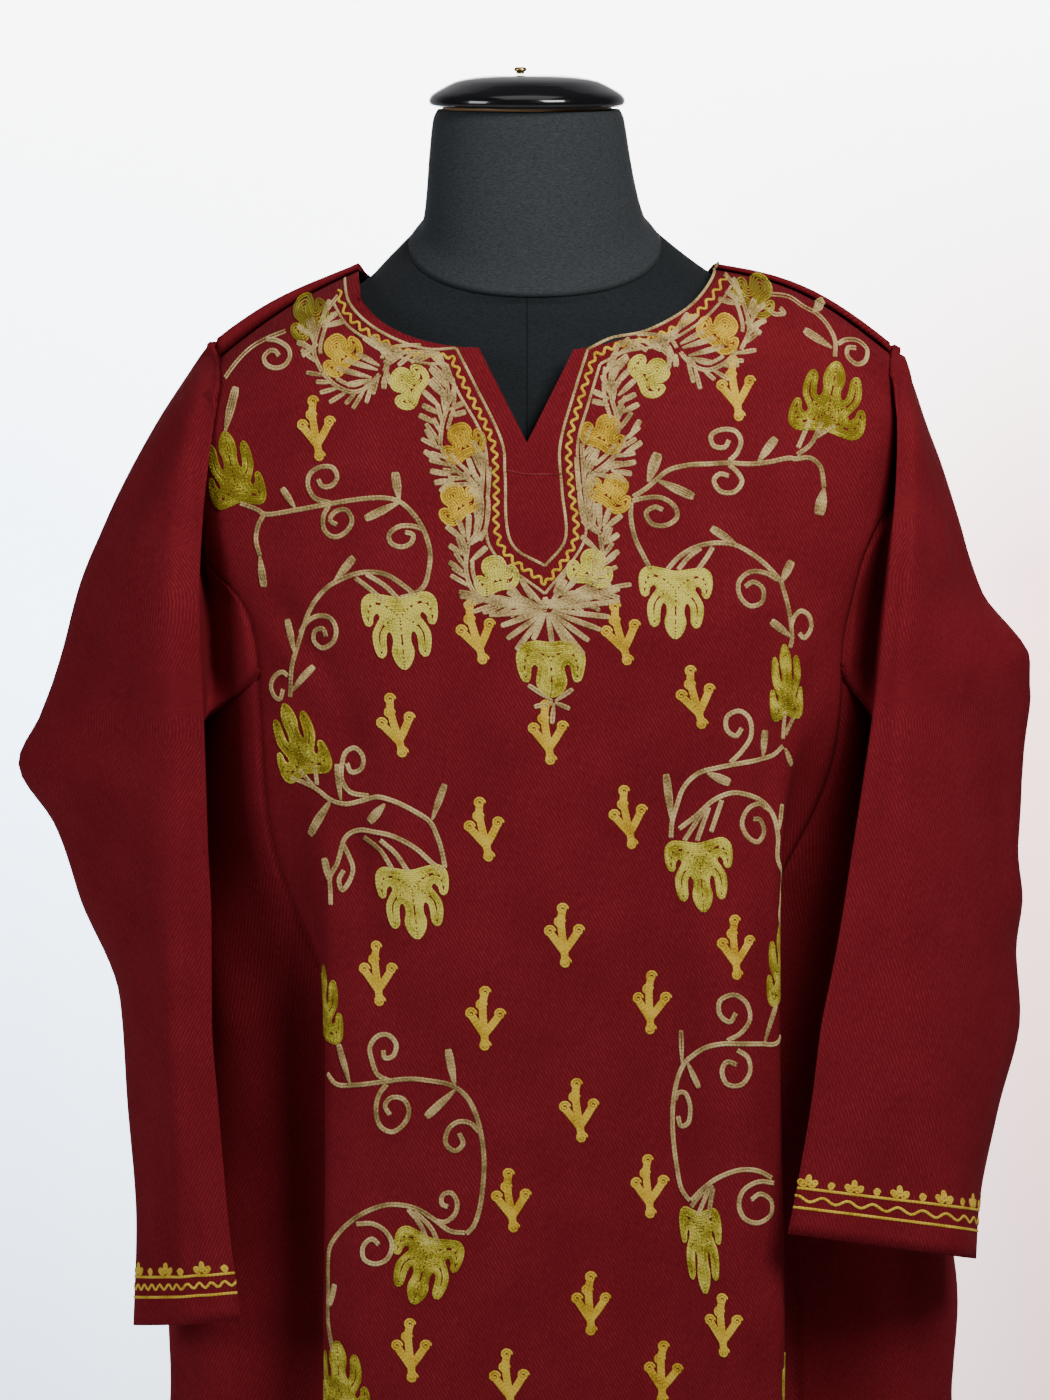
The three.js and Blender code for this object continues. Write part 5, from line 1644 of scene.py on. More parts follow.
VINES = (
    "240,503 258,510 264,514 296,510 329,504 361,499 385,498 400,502 414,515 424,531 430,552"
    " 429,569 424,586 414,594 400,598",
    "264,514 258,526 256,540 260,556",
    "331,503 315,498 308,486 310,474 321,467 333,468 337,478 331,486 322,486 318,479",
    "329,505 323,518 325,531 334,537 346,532 352,520 346,510 335,512 330,520 337,525",
    "425,530 412,526 398,527 389,535 391,543 401,547 411,543 413,535 405,532",
    "414,594 404,586 387,575 371,572 355,574 342,579 329,586 315,601 306,619 300,638 295,654"
    " 291,676 290,697",
    "355,578 366,586 385,602", "366,574 385,586 400,601",
    "300,633 307,622 318,616 330,618 336,629 333,642 322,648 314,641 315,631 323,629 326,637",
    "288,676 283,672 275,676 271,686 275,697 280,699 283,689",
    "291,777 315,788 331,800 345,804 361,801 377,797 393,801 412,810 430,822 437,836 442,852 445,868",
    "299,769 315,788", "315,764 317,785",
    "369,796 350,792 342,780 342,764 346,752 355,748 363,757 361,769 351,772 347,763",
    "444,869 436,866 415,848 392,836 374,832 360,830 349,834 344,840 341,850 337,864 330,877"
    " 330,891 330,905",
    "364,837 380,850 394,872", "380,840 395,853 408,872",
    "343,844 349,856 353,869 348,884 342,890 339,880 344,870",
    "323,1073 334,1084 356,1085 382,1082 409,1079 431,1081 450,1085 465,1095 475,1112 481,1134"
    " 484,1158 483,1185 479,1211 473,1227 466,1234",
    "390,1081 378,1075 372,1061 370,1047 378,1036 388,1035 396,1044 393,1056 385,1058 383,1050",
    "387,1084 379,1095 376,1112 381,1127 392,1132 404,1124 409,1110 403,1099 391,1098 385,1106 390,1115",
    "479,1132 470,1123 458,1122 448,1130 446,1144 455,1151 463,1144 459,1133",
    "465,1233 450,1231 436,1221 421,1211 407,1206 387,1205 368,1211 351,1221 334,1236 326,1248"
    " 324,1262 324,1287 324,1321 330,1352",
    "408,1209 421,1226 428,1245", "414,1211 431,1228 438,1243",
    "436,1221 445,1222 455,1214 457,1202 451,1193 443,1195 442,1204 448,1207",
    "356,1224 373,1224 386,1232 392,1245 387,1259 375,1264 364,1259 363,1247 372,1239 379,1245",
    "286,331 266,339 252,347 241,357 232,368 225,378",
    "266,339 278,341 288,348 290,356 285,365 275,368 266,364 264,357 270,351 275,351 279,356",
    "633,497 648,487 657,479 669,470 689,465 708,464 728,463 752,464 769,462 790,458 795,459"
    " 810,458 820,466 823,478 824,488",
    "810,420 798,448", "822,421 811,444 797,455", "835,425 816,437",
    "729,461 737,453 741,441 735,431 720,430 711,436 714,446 725,447 729,440",
    "729,465 738,473 742,482 734,492 720,491 714,480 720,474 729,476",
    "632,501 645,498 662,498 675,507 677,517 667,525 652,524 646,513 655,507 663,510",
    "631,502 631,519 635,538 643,555 651,570",
    "667,570 679,557 696,547 715,543 735,545 752,554 766,565 781,582 783,588 788,606 791,624"
    " 792,639 790,648",
    "701,548 689,557 678,570", "713,547 707,557 697,571",
    "778,580 765,573 750,572 739,582 740,596 750,606 762,602 763,589 753,582 745,587",
    "791,626 795,616 801,611 809,616 811,628 804,638 799,633",
    "785,711 783,739", "794,716 785,735",
    "783,746 773,755 758,760 737,764 717,768 699,773 684,787 677,805 672,823 671,838",
    "730,763 742,751 751,736 749,718 739,711 727,717 727,730 736,736 742,728",
    "679,829 697,815 714,800 732,793 748,795 763,802 773,815 778,836 778,861 781,887 779,912 780,930",
    "704,810 684,841", "709,807 697,841", "722,800 711,832",
    "771,811 759,804 748,809 742,823 748,837 758,842 764,832 760,820 753,819",
    "781,899 783,893 794,894 799,906 795,918 786,921 785,910",
    "780,1036 775,1044 761,1044 741,1044 722,1044 705,1048 691,1057 684,1064 677,1081 673,1106"
    " 673,1134 677,1168 682,1190 690,1201",
    "675,1100 678,1093 685,1093 690,1106 688,1123 681,1126 678,1116",
    "727,1041 741,1033 750,1019 747,1004 734,995 720,1001 720,1015 730,1022 736,1013",
    "737,1050 748,1058 750,1072 741,1085 727,1084 722,1071 727,1062 737,1065",
    "713,1185 702,1193 691,1207", "709,1189 698,1215", "713,1188 708,1218",
    "691,1201 705,1187 722,1176 741,1170 758,1171 772,1178",
    "774,1183 758,1182 744,1190 739,1204 744,1218 758,1223 771,1214 771,1201 760,1194 751,1200",
    "769,294 789,297 804,307 817,314 828,326 835,341 835,357",
    "838,344 845,340 858,341 867,350 865,361 856,364 847,355 848,348 856,348",
    "768,309 774,314 784,313 780,308",
)
BUDS = (
    "260,556 264,587 8", "295,508 282,488 7", "399,500 395,472 9", "400,502 365,519 8",
    "334,582 354,557 8", "294,652 287,619 7", "291,692 314,666 7", "331,800 310,835 9",
    "341,801 337,764 6", "385,804 369,822 9", "432,820 445,784 7", "330,884 324,858 8",
    "350,1085 337,1044 7", "455,1087 448,1049 8", "455,1090 426,1117 8", "327,1306 332,1284 6",
    "225,432 236,387 9", "824,488 819,515 12", "758,462 776,438 9", "648,482 658,453 11",
    "657,480 694,497 9", "736,544 711,528 8", "781,583 792,561 9", "791,637 771,621 8",
    "785,748 791,766 6", "763,758 765,730 8", "707,773 730,783 9", "672,823 666,774 8",
    "779,830 782,804 5", "682,1064 681,1030 5", "687,1062 699,1088 6", "764,1044 776,1005 6",
    "832,348 804,330 8", "813,312 824,300 9",
)
SPRIGS = (
    "315,428 735,388 475,632 620,633 547,732 395,725 695,697 483,829 627,817 563,935 377,973"
    " 735,947 484,1018"
    " 650,1002 578,1110 510,1200 648,1186 590,1303 410,1350 722,1325 508,1380 662,1372"
    " 570,1452 410,1500 738,1478 510,1560 640,1530 575,1640 500,1740 640,1716 400,1790 740,1760 570,1826"
    " 470,1890 680,1880 590,1950 400,1930 760,1930"
)
NECK_LINES = (
    ("345,278 349,302 368,323 400,341 428,349 456,348", "456,348 473,381 503,446 505,474 512,544 545,566"),
    ("719,262 713,276 691,305 645,331 611,338 588,349", "588,349 575,390 560,446 562,490 565,540 545,566"),
    ("334,304 347,325 370,341 400,357 424,363 447,364", "447,364 456,388 484,441 488,488 490,547 545,594"),
    ("731,286 722,300 700,322 660,345 625,352 600,364", "600,364 588,405 578,441 580,488 585,538 545,594"),
)
FACING_LINE = "507,470 525,474 545,474 565,474 580,469"
WAVY_LINES = (
    ("338,290 347,314 369,333 400,349 426,356 451,356", "451,356 464,384 493,444 496,482 501,546 546,584"),
    ("726,274 718,288 696,314 652,338 618,345 594,356", "594,356 581,398 569,443 571,488 575,540 546,584"),
)


@dataclass(frozen=True)
class Bloom:
    """A three-lobed flower of the neck garland, and the needle leaves sewn beside it.

    "mate" is where its mirror image is sewn on the other side of the neck.
    """

    at: tuple[float, float]
    mate: tuple[float, float]
    turn: float
    shade: float
    golden: bool
    stems: tuple[str, ...]
    needles: str
    size: float = 1.15


BLOOMS = (
    Bloom((308, 318), (755, 296), 40, 0.1, False, ("338,296 326,312 318,330 314,352 322,372",),
          "313,337 298,326 314,349 297,342 316,337 308,322 321,325 337,313 322,327 345,321"
          " 322,318 330,300 318,344 302,356"),
    Bloom((341, 355), (719, 333), 40, 0.5, True, ("322,372 335,385 352,392 366,388 380,374",),
          "391,356 363,337 380,366 356,353 378,370 345,360 372,378 336,368 372,380 347,385 379,377"
          " 365,388 384,376 384,389 388,360 372,335"),
    Bloom((409, 386), (649, 375), 60, 0.85, False,
          ("384,372 391,356 409,352 440,354", "440,354 447,385 447,407 442,425 440,445"),
          "447,388 430,368 444,397 428,380 440,407 423,391 440,414 422,405 437,424 419,415 447,407"
          " 456,386 449,410 465,402 449,416 466,412 452,384 443,364 409,354 380,344"),
    Bloom((463, 444), (603, 435), 25, 0.3, True,
          ("440,445 449,462 462,475 478,486", "484,452 482,486 480,508"),
          "437,448 426,429 442,463 424,451 451,475 430,471 451,480 434,483 477,482 468,458 455,478 440,492"),
    Bloom((458, 504), (610, 493), 35, 0.6, True,
          ("478,486 482,505 478,530 468,545", "468,545 466,570 474,592 492,603"),
          "465,541 446,526 463,555 449,545 463,572 449,562 465,538 458,519 468,541 469,514"
          " 470,545 486,531 470,562 487,547"),
    Bloom((496, 577), (590, 570), 15, 0.95, False, ("474,592 492,603 520,607 547,610",),
          "523,600 508,584 532,600 521,578 508,606 488,598"),
)
BURST = (
    "460,596 489,615 501,626 507,639 516,650 533,640 545,597 566,580 575,592 590,592 620,589"
    " 620,601 610,617 601,630 589,641 584,655 566,643 552,643 496,597 507,592 523,584"
)
BURST_HEART = (547, 610)
CROSS_HEART = (554, 702)
CROSS = "528,685 573,689 534,707 570,709 552,724"


class Embroidery:
    """The embroidery of the front, laid out on a chart as the camera sees it.

    A place on the chart is a number across and a number down in a frame of 1050 by 1400. It is
    sewn on the point of the front where the camera sees that place.
    """

    CENTRE = (525.0, 700.0)
    FOLD_LEFT = -124.0
    FOLD_RIGHT = 154.0
    SHOULDER_MARGIN = 8.0
    REPEAT_DOWN = 400.0
    REPEAT_FROM = 1000.0

    def __init__(self, body: WornBody) -> None:
        """Prepares a skein for each yarn."""
        self.body = body
        self.vine, self.neck, self.gold = (Skein(self.lay) for _ in range(3))
        self.leaf, self.bloom, self.gold_bloom = (Skein(self.lay) for _ in range(3))
        self.low_vine, self.low_leaf, self.seam = (Skein(self.lay) for _ in range(3))

    def lay(self, flat: Array) -> tuple[Array, Array]:
        """Points of the front and the directions out of it, for places on the flat cloth."""
        u, z = flat[:, 0], flat[:, 1]
        return self.body.worn(Face.FRONT, u, z), self.body.outward(Face.FRONT, u, z)

    def spot(self, chart: Array) -> Array:
        """Places on the flat cloth, as u and z, from places on the chart."""
        chart = np.atleast_2d(np.asarray(chart, float))
        a = (chart[:, 0] - self.CENTRE[0]) / Studio.FOCAL
        b = (self.CENTRE[1] - chart[:, 1]) / Studio.FOCAL
        cosine, sine = math.cos(Studio.PITCH), math.sin(Studio.PITCH)
        eye = np.array(Studio.TARGET) / MM + np.array([0.0, -cosine, sine]) * Studio.DISTANCE / MM
        ray = np.stack([a, cosine + b * sine, b * cosine - sine], 1)
        y = np.full(len(chart), -130.0)
        for _ in range(10):
            far = (y - eye[1]) / ray[:, 1]
            x, z = eye[0] + ray[:, 0] * far, eye[2] + ray[:, 2] * far
            u = np.array([self.u_at(p, q) for p, q in zip(x, z)])
            y = mix(y, np.clip(self.body.worn(Face.FRONT, u, z)[:, 1], -175.0, -2.0), 0.6)
        return np.stack([u, z], 1)

    def u_at(self, x: float, z: float) -> float:
        """u of the front at x and height z, carried on past the folds' edges."""
        formed = float(smooth(np.array((1120.0 - z) / 100.0)))
        low = mix(-float(LEFT.edge(Face.FRONT, z)) + 1.0, self.FOLD_LEFT, formed)
        high = mix(float(RIGHT.edge(Face.FRONT, z)) - 1.0, self.FOLD_RIGHT, formed)
        us = np.linspace(low, high, 120)
        xs = self.body.hanging(Face.FRONT, us, np.full(120, z))[0]
        if x <= xs[0]:
            return low + x - xs[0]
        if x >= xs[-1]:
            return high + x - xs[-1]
        return float(np.interp(x, xs, us))

    def sewn(
        self, lines: list[Array], at: Array, turn: float, wide: float, long: float, skein: Skein, shade: float
    ) -> None:
        """Sews the rows of a motif at a place, turned and stretched."""
        for k, line in enumerate(lines):
            skein.sew(line * (wide, long) @ spin(turn) + at, shade + 0.12 * math.sin(2.3 * k + at[0]))

    def stalk(self, keys: str, skein: Skein, down: float = 0.0) -> None:
        """A vine of two rows of stitches."""
        line = curved(self.spot(pairs(keys) + (0.0, down)))
        shade = 0.5 + 0.15 * math.sin(line[0, 0])
        skein.sew(beside(line, 0.72), shade, 1.65)
        skein.sew(beside(line, -0.72), shade - 0.1, 1.65)

    def blade(self, start: Array, end: Array, width: float, skein: Skein, shade: float = 0.45) -> None:
        """A narrow leaf of rows that part from its start and close at its rounded end."""
        t = np.linspace(0.0, 1.0, 14)[:, None]
        line = start + (end - start) * t
        rows = max(2, round(width / 1.2))
        t = t[:, 0]
        swell = np.minimum(1.0, (t / 0.5) ** 0.8) * np.sqrt(1.0 - 0.7 * np.clip((t - 0.8) / 0.2, 0, 1) ** 2)
        for k in range(rows):
            offset = (k - (rows - 1) / 2.0) * (width - THREAD * 0.8) / max(1, rows - 1)
            skein.sew(beside(line, offset * swell), shade + 0.1 * math.sin(k + start[0]))

    def fan(self, line: Array, sense: float) -> None:
        """Long needles on the outer side of a stem, and a strand beside it on its inner side."""
        arc = lengths_along(line)
        for k, place in enumerate(np.arange(3.0, arc[-1] - 1.0, 5.6)):
            root = places_along(place, arc, line)
            ahead = unit(places_along(place + 1.5, arc, line) - root)
            turn = -sense * (146.0 + 9.0 * math.sin(2.1 * k + root[0]))
            tip = root + ahead @ spin(turn) * 12.0 * (1.0 + 0.2 * math.sin(1.7 * k + root[1]))
            if tip[1] < shoulder_at(tip[:1])[0][0] - self.SHOULDER_MARGIN:
                self.blade(root, tip, 2.7, self.neck, 0.5)
        strand = len(line) // 5
        for offset in (3.4, 4.5):
            self.neck.sew(beside(line, sense * offset)[strand:-strand], 0.5)

    def sprig(self, at: Array, lean: float) -> None:
        """A golden sprig: a stem with a ball and a tip, and a ball on a prong at each side."""

        def there(text: str) -> Array:
            """Places of the sprig, leant over and moved to where it is sewn."""
            return pairs(text) @ spin(lean) + at

        shade = 0.72 + 0.15 * math.sin(at[0] * 0.7)
        for keys in ("3,-17 1.5,-9 -1,2 -2,9 -1.8,15", "1.5,-10 -3,-5 -7.5,0", "1.5,-10 5,-4 8.4,2.5"):
            line = curved(there(keys))
            for offset in (-1.65, -0.55, 0.55, 1.65):
                self.gold.sew(beside(line, offset), shade)
        turn = np.linspace(0.0, 4.2 * math.pi, 30)
        for centre in there("-1.8,15.6 -2.8,7.4 -8.2,1.2 9,4 3,-16.6"):
            reach = np.linspace(3.5, 0.4, 30)[:, None]
            self.gold.sew(centre + reach * np.stack([np.cos(turn), np.sin(turn)], 1), shade)

    def build(self) -> list[Piece]:
        """Sews everything and dresses each yarn's mesh."""
        self.vines()
        self.leaves()
        self.neckline()
        self.garland()
        for spot in self.spot(pairs(SPRIGS)):
            self.sprig(spot, 4.0 * math.sin(spot[0]) - 9.0 * float(smooth((1180.0 - spot[1]) / 200.0)))
        skeins = (
            ("vine_stitches", self.vine, BEIGE_YARN), ("neck_stitches", self.neck, BEIGE_YARN),
            ("gold_stitches", self.gold, GOLD_YARN), ("leaf_stitches", self.leaf, LEAF_YARN),
            ("bloom_stitches", self.bloom, LEAF_YARN), ("gold_bloom_stitches", self.gold_bloom, GOLD_YARN),
            ("low_vine_stitches", self.low_vine, BEIGE_YARN), ("low_leaf_stitches", self.low_leaf, LEAF_YARN),
            ("facing_stitches", self.seam, SEAM_THREAD),
        )
        return [skein.piece(name).dress(finish, "wool") for name, skein, finish in skeins if skein.lines]

    def vines(self) -> None:
        """The vines with their curls and buds, and their repeat below."""
        for keys in VINES:
            self.stalk(keys, self.vine)
            if pairs(keys)[:, 1].min() > self.REPEAT_FROM:
                self.stalk(keys, self.low_vine, self.REPEAT_DOWN)
        for text in BUDS:
            start, end, width = text.split()
            ends = pairs(start + " " + end)
            a, b = self.spot(ends)
            self.blade(a, b, float(width) * 0.6, self.vine)
            if ends[:, 1].min() > self.REPEAT_FROM:
                a, b = self.spot(ends + (0.0, self.REPEAT_DOWN))
                self.blade(a, b, float(width) * 0.6, self.low_vine)

    def leaves(self) -> None:
        """The large leaves."""
        for group, skein in ((LEAVES, self.leaf), (LOWER_LEAVES, self.low_leaf)):
            for leaf in group:
                at = self.spot((leaf.x, leaf.y))[0]
                self.sewn(BIG_LEAF, at, leaf.turn, leaf.wide, leaf.long, skein, leaf.shade)

    def neckline(self) -> None:
        """The beige lines, the wavy golden line and the facing's stitches round the neck and slit."""
        self.seam.sew(curved(self.spot(pairs(FACING_LINE))), 0.5, 0.9)
        for parts in NECK_LINES:
            for keys in parts:
                self.neck.sew(curved(self.spot(pairs(keys))), 0.5, 1.9)
        for parts in WAVY_LINES:
            for keys in parts:
                line = curved(self.spot(pairs(keys)))
                arc = lengths_along(line)
                fine = np.linspace(0.0, arc[-1], int(arc[-1] / 0.5))
                line = places_along(fine, arc, line)
                turns = max(1, round(arc[-1] / 7.0))
                self.gold.sew(beside(line, 1.5 * np.sin(fine / arc[-1] * turns * 2.0 * math.pi)), 0.55, 1.9)

    def garland(self) -> None:
        """The flowers and needle leaves round the neck, and the burst under the slit."""
        for bloom in BLOOMS:
            for mirror in (False, True):
                def there(keys: Array) -> Array:
                    """Places on the flat cloth, mirrored on the other side of the neck."""
                    if not mirror:
                        return self.spot(keys)
                    moved = (np.atleast_2d(keys) - bloom.at) * (-1.0, 1.0) + bloom.mate
                    return self.spot(moved)

                at = there(np.array(bloom.at))[0]
                skein = self.gold_bloom if bloom.golden else self.bloom
                turn = -bloom.turn if mirror else bloom.turn
                for stem in bloom.stems:
                    line = curved(there(pairs(stem)))
                    for offset in (-0.7, 0.7):
                        self.neck.sew(beside(line, offset), 0.45)
                    self.fan(line, -1.0 if mirror else 1.0)
                self.sewn(BLOOM, at, turn, bloom.size, bloom.size, skein, bloom.shade)
                ends = there(pairs(bloom.needles))
                for a, b in zip(ends[::2], ends[1::2]):
                    self.blade(a, b, 3.4, self.neck, 0.5)
        heart = self.spot(BURST_HEART)[0]
        for tip in self.spot(pairs(BURST)):
            self.blade(mix(heart, tip, 0.08), tip, 3.3, self.neck, 0.55)
        heart = self.spot(CROSS_HEART)[0]
        for tip in self.spot(pairs(CROSS)):
            self.blade(mix(heart, tip, 0.05), tip, 2.8, self.neck, 0.6)
        self.sewn(BELL, self.spot((550, 642))[0], 0.0, 1.0, 1.0, self.bloom, 0.55)


BEIGE_YARN = Yarn("beige_yarn", (0.29, 0.19, 0.07), (0.68, 0.49, 0.21), (0.92, 0.72, 0.36))
GOLD_YARN = Yarn("gold_yarn", (0.46, 0.27, 0.02), (0.84, 0.54, 0.045), (1.0, 0.71, 0.09))
LEAF_YARN = Yarn("leaf_yarn", (0.27, 0.20, 0.012), (0.62, 0.53, 0.055), (1.0, 0.88, 0.17))
SEAM_THREAD = Yarn("wine_thread", (0.15, 0.012, 0.016), (0.30, 0.035, 0.040), (0.42, 0.07, 0.07))


@dataclass
class CuffWork:
    """The golden lines and flowers round a cuff."""

    sleeve: Sleeve
    base: float
    wave: float
    top: float
    wave_length: float

    def __post_init__(self) -> None:
        """Keeps the part of the sleeve near the cuff as a grid of points."""
        levels = self.sleeve.cuff_z + np.linspace(0.0, 60.0, 13)[::-1]
        outer, inner = self.sleeve.shape(levels)
        self.levels = levels
        self.grid = np.concatenate([outer, inner, outer[:, :1]], 1)
        self.arc = lengths_along(self.grid[-1])
        normal = np.cross(np.gradient(self.grid, axis=0), np.gradient(self.grid, axis=1))
        self.normal = unit(normal * self.sleeve.side.sign)

    def lay(self, flat: Array) -> tuple[Array, Array]:
        """Points and outward directions for distances round the cuff and heights above its edge."""
        column = np.interp(flat[:, 0] % self.arc[-1], self.arc, np.arange(len(self.arc)))
        height = self.sleeve.cuff_z + flat[:, 1]
        row = np.interp(-height, -self.levels, np.arange(len(self.levels)))
        r = np.minimum(row.astype(int), len(self.levels) - 2)
        c = np.minimum(column.astype(int), len(self.arc) - 2)
        down, across = (row - r)[:, None], (column - c)[:, None]
        found = []
        for grid in (self.grid, self.normal):
            low = mix(grid[r, c], grid[r, c + 1], across)
            high = mix(grid[r + 1, c], grid[r + 1, c + 1], across)
            found.append(mix(low, high, down))
        return found[0], unit(found[1])

    def build(self, name: str) -> Piece:
        """Sews the lines, the flowers and the buds between them."""
        skein = Skein(self.lay)
        whole = self.arc[-1]
        round_it = np.arange(0.0, whole + 0.25, 0.5)
        for height in (self.base, self.top):
            skein.sew(np.stack([round_it, np.full_like(round_it, height)], 1), 0.7, 1.8)
        turns = round(whole / self.wave_length)
        swell = 1.5 * np.sin(round_it / whole * turns * 2.0 * math.pi)
        skein.sew(np.stack([round_it, self.wave + swell], 1), 0.8, 1.8)
        count = round(whole / 33.0)
        spiral = np.linspace(0.0, 4.0 * math.pi, 26)
        reach = np.linspace(2.3, 0.4, 26)[:, None]
        for k in range(count):
            at = np.array([(k + 0.35) * whole / count, self.top + 0.8])
            for lean in (-58.0, 0.0, 58.0):
                for line in PETAL:
                    skein.sew(line @ spin(lean) + at, 0.8)
            bud = at + (whole / count / 2.0, 2.0)
            skein.sew(bud + reach * np.stack([np.cos(spiral), np.sin(spiral)], 1), 0.8)
        return skein.piece(name).dress(GOLD_YARN, "wool")


CAP = {
    "x": 0, "y": -11, "z": 1502.3, "tilt": 0.01,
    "plate": 52.0, "plate_height": 2.6, "rim": 60.5, "height": 17.5,
}


def build_form() -> list[Piece]:
    """The form, its neck and what stands on it, in order from the foot up."""
    form = DressForm()
    foot_levels = [762, 762.8, 764, 767]
    torso_levels = np.concatenate([foot_levels, np.linspace(770, 1300, 60), np.linspace(1304, 1419, 48)])
    neck_levels = np.concatenate([np.linspace(1419.4, 1497, 34), [1499.5, 1501.2, 1502]])
    made = [
        form.build("form_body", TORSO_ROWS, torso_levels, "form_torso", JERSEY),
        form.build("form_throat", NECK_ROWS, neck_levels, "form_neck", NECK_LIGHT_JERSEY),
    ]
    place = (CAP["x"], CAP["y"], CAP["z"])
    top = CAP["plate_height"]
    board = ((0, 0), (CAP["plate"], 0), (CAP["plate"], top), (0, top))
    plate = turned("cap_board", board, place, CAP["tilt"], bevel=0.3)
    made.append(plate.dress(TurnedWood("brown_board"), "cap_plate", "neck_plate"))
    foot = top + 0.7
    rim, high = CAP["rim"], CAP["height"]
    profile = (
        (0, foot), (53.4, foot), (54.2, 2.2), (56, 1.7), (rim - 2.4, 1.9), (rim - 0.6, 3.0),
        (rim, foot + 1.6), (rim - 0.3, foot + 3.6), (rim - 1.4, foot + 5.4),
        (rim * 0.93, foot + high * 0.43), (rim * 0.87, foot + high * 0.55), (rim * 0.80, foot + high * 0.68),
        (rim * 0.73, foot + high * 0.79), (rim * 0.65, foot + high * 0.87), (rim * 0.56, foot + high * 0.93),
        (rim * 0.47, foot + high * 0.97), (rim * 0.38, foot + high), (0, foot + high),
    )
    cap = turned("cap_dome", profile, place, CAP["tilt"], sides=144, bevel=0.35)
    made.append(cap.dress(Lacquer("black_lacquer"), "cap_gloss", "neck_cap"))
    peg_place = (CAP["x"] - 4, CAP["y"], CAP["z"] + foot + high + 0.7)
    peg_profile = ((0, 0), (2.4, 0), (2.4, 1.4), (3.9, 1.9), (4.0, 2.6), (3.6, 3.6), (2.6, 4.1), (0, 4.2))
    peg = turned("cap_knob", peg_profile, peg_place, 0.0, sides=48, bevel=0.25)
    brass = Metal("yellow_brass", (0.42, 0.27, 0.07), (0.68, 0.47, 0.15), 1.0, 0.3)
    made.append(peg.dress(brass, "cap_brass", "cap_peg"))
    return made


def build_stand() -> list[Piece]:
    """The pole and the weighted base."""
    base_profile = (
        (0, 0), (192.5, 0), (195, 1.6), (195, 6), (193.6, 8.1), (191, 9.1), (170, 10.9), (145, 13.4),
        (121, 16.4), (96, 19.9), (72, 23.6), (60, 25.6), (50, 27.4), (47, 28), (0, 28),
    )
    base = turned("base_disc", base_profile, sides=144, bevel=0.5)
    iron = Metal("dark_iron", (0.012, 0.012, 0.014), (0.03, 0.03, 0.034), 0.4, 0.5)
    base.dress(iron, "stand_base", "stand_base")
    foot, top = 28.7, 761.3
    pole_profile = (
        (0, foot), (30, foot), (30, foot + 13), (28, foot + 15.5), (19, foot + 17.5), (16, foot + 20),
        (16, top - 24), (19, top - 20), (32, top - 17), (34, top - 15), (34, top), (0, top),
    )
    pole = turned("pole_tube", pole_profile, sides=72, bevel=0.6)
    steel = Metal("dark_steel", (0.02, 0.02, 0.022), (0.05, 0.05, 0.055), 0.9, 0.35)
    pole.dress(steel, "stand_steel", "stand_pole")
    return [base, pole]


@dataclass(frozen=True)
class Cut:
    """The flat piece that a node's cloth was cut from, in metres, and what it hangs from."""

    node: str
    width: float
    length: float
    area: float
    rests_on: tuple[str, ...]

    def declare(self, cloth: Piece, sewn_on: list[Piece]) -> None:
        """Takes a cloth piece and the stitching on it, and does nothing with them."""


CUTS = (
    Cut("front_panel", 0.49, 1.12, 0.415, ("form_body",)),
    Cut("back_panel", 0.47, 1.12, 0.416, ("form_body",)),
    Cut("side_gore_left", 0.42, 0.82, 0.254, ("front_panel_cloth", "back_panel_cloth")),
    Cut("side_gore_right", 0.31, 0.82, 0.216, ("front_panel_cloth", "back_panel_cloth")),
    Cut("sleeve_left", 0.46, 0.64, 0.177, ("front_panel_cloth", "back_panel_cloth")),
    Cut("sleeve_right", 0.45, 0.57, 0.191, ("front_panel_cloth", "back_panel_cloth")),
)


SHOULDER_LEVELS = (1349, 1346, 1343, 1339, 1335, 1330, 1324, 1317, 1310, 1303, 1297, 1290, 1284, 1278)


@dataclass
class Garment:
    """All the cloth pieces of the pheran."""

    body: WornBody = field(default_factory=WornBody)

    def build(self) -> dict[str, Piece]:
        """Builds the two panels, the two gores and the two sleeves, by node."""
        sheets = {
            "front_panel": Panel(self.body, Face.FRONT).sheet(),
            "back_panel": Panel(self.body, Face.BACK, 7, 16, 18, row_height=9.0).sheet(),
            "side_gore_left": Gore(self.body, LEFT).sheet(),
            "side_gore_right": Gore(self.body, RIGHT).sheet(),
            "sleeve_left": self.left_sleeve().sheet(),
            "sleeve_right": self.right_sleeve().sheet(),
        }
        made = {}
        for node, sheet in sheets.items():
            wall = sheet.wall(CLOTH)
            piece = Piece(node + "_cloth", wall.points, wall.quads).map_flat(wall.flat)
            made[node] = piece.dress(WOOL, "wool", node)
        return made

    def left_sleeve(self) -> Sleeve:
        """The sleeve on the left as seen."""
        tops = (1358, 1356.5, 1354, 1351.5, *SHOULDER_LEVELS)
        return Sleeve(self.body, LEFT, SLEEVE_LEFT_ROWS, 772, 0.20, 1000, tops, LEFT_WRINKLES)

    def right_sleeve(self) -> Sleeve:
        """The sleeve on the right as seen."""
        tops = (1356, 1354.5, 1353, 1351, *SHOULDER_LEVELS)
        return Sleeve(self.body, RIGHT, SLEEVE_RIGHT_ROWS, 832, 0.27, 1020, tops, RIGHT_WRINKLES)


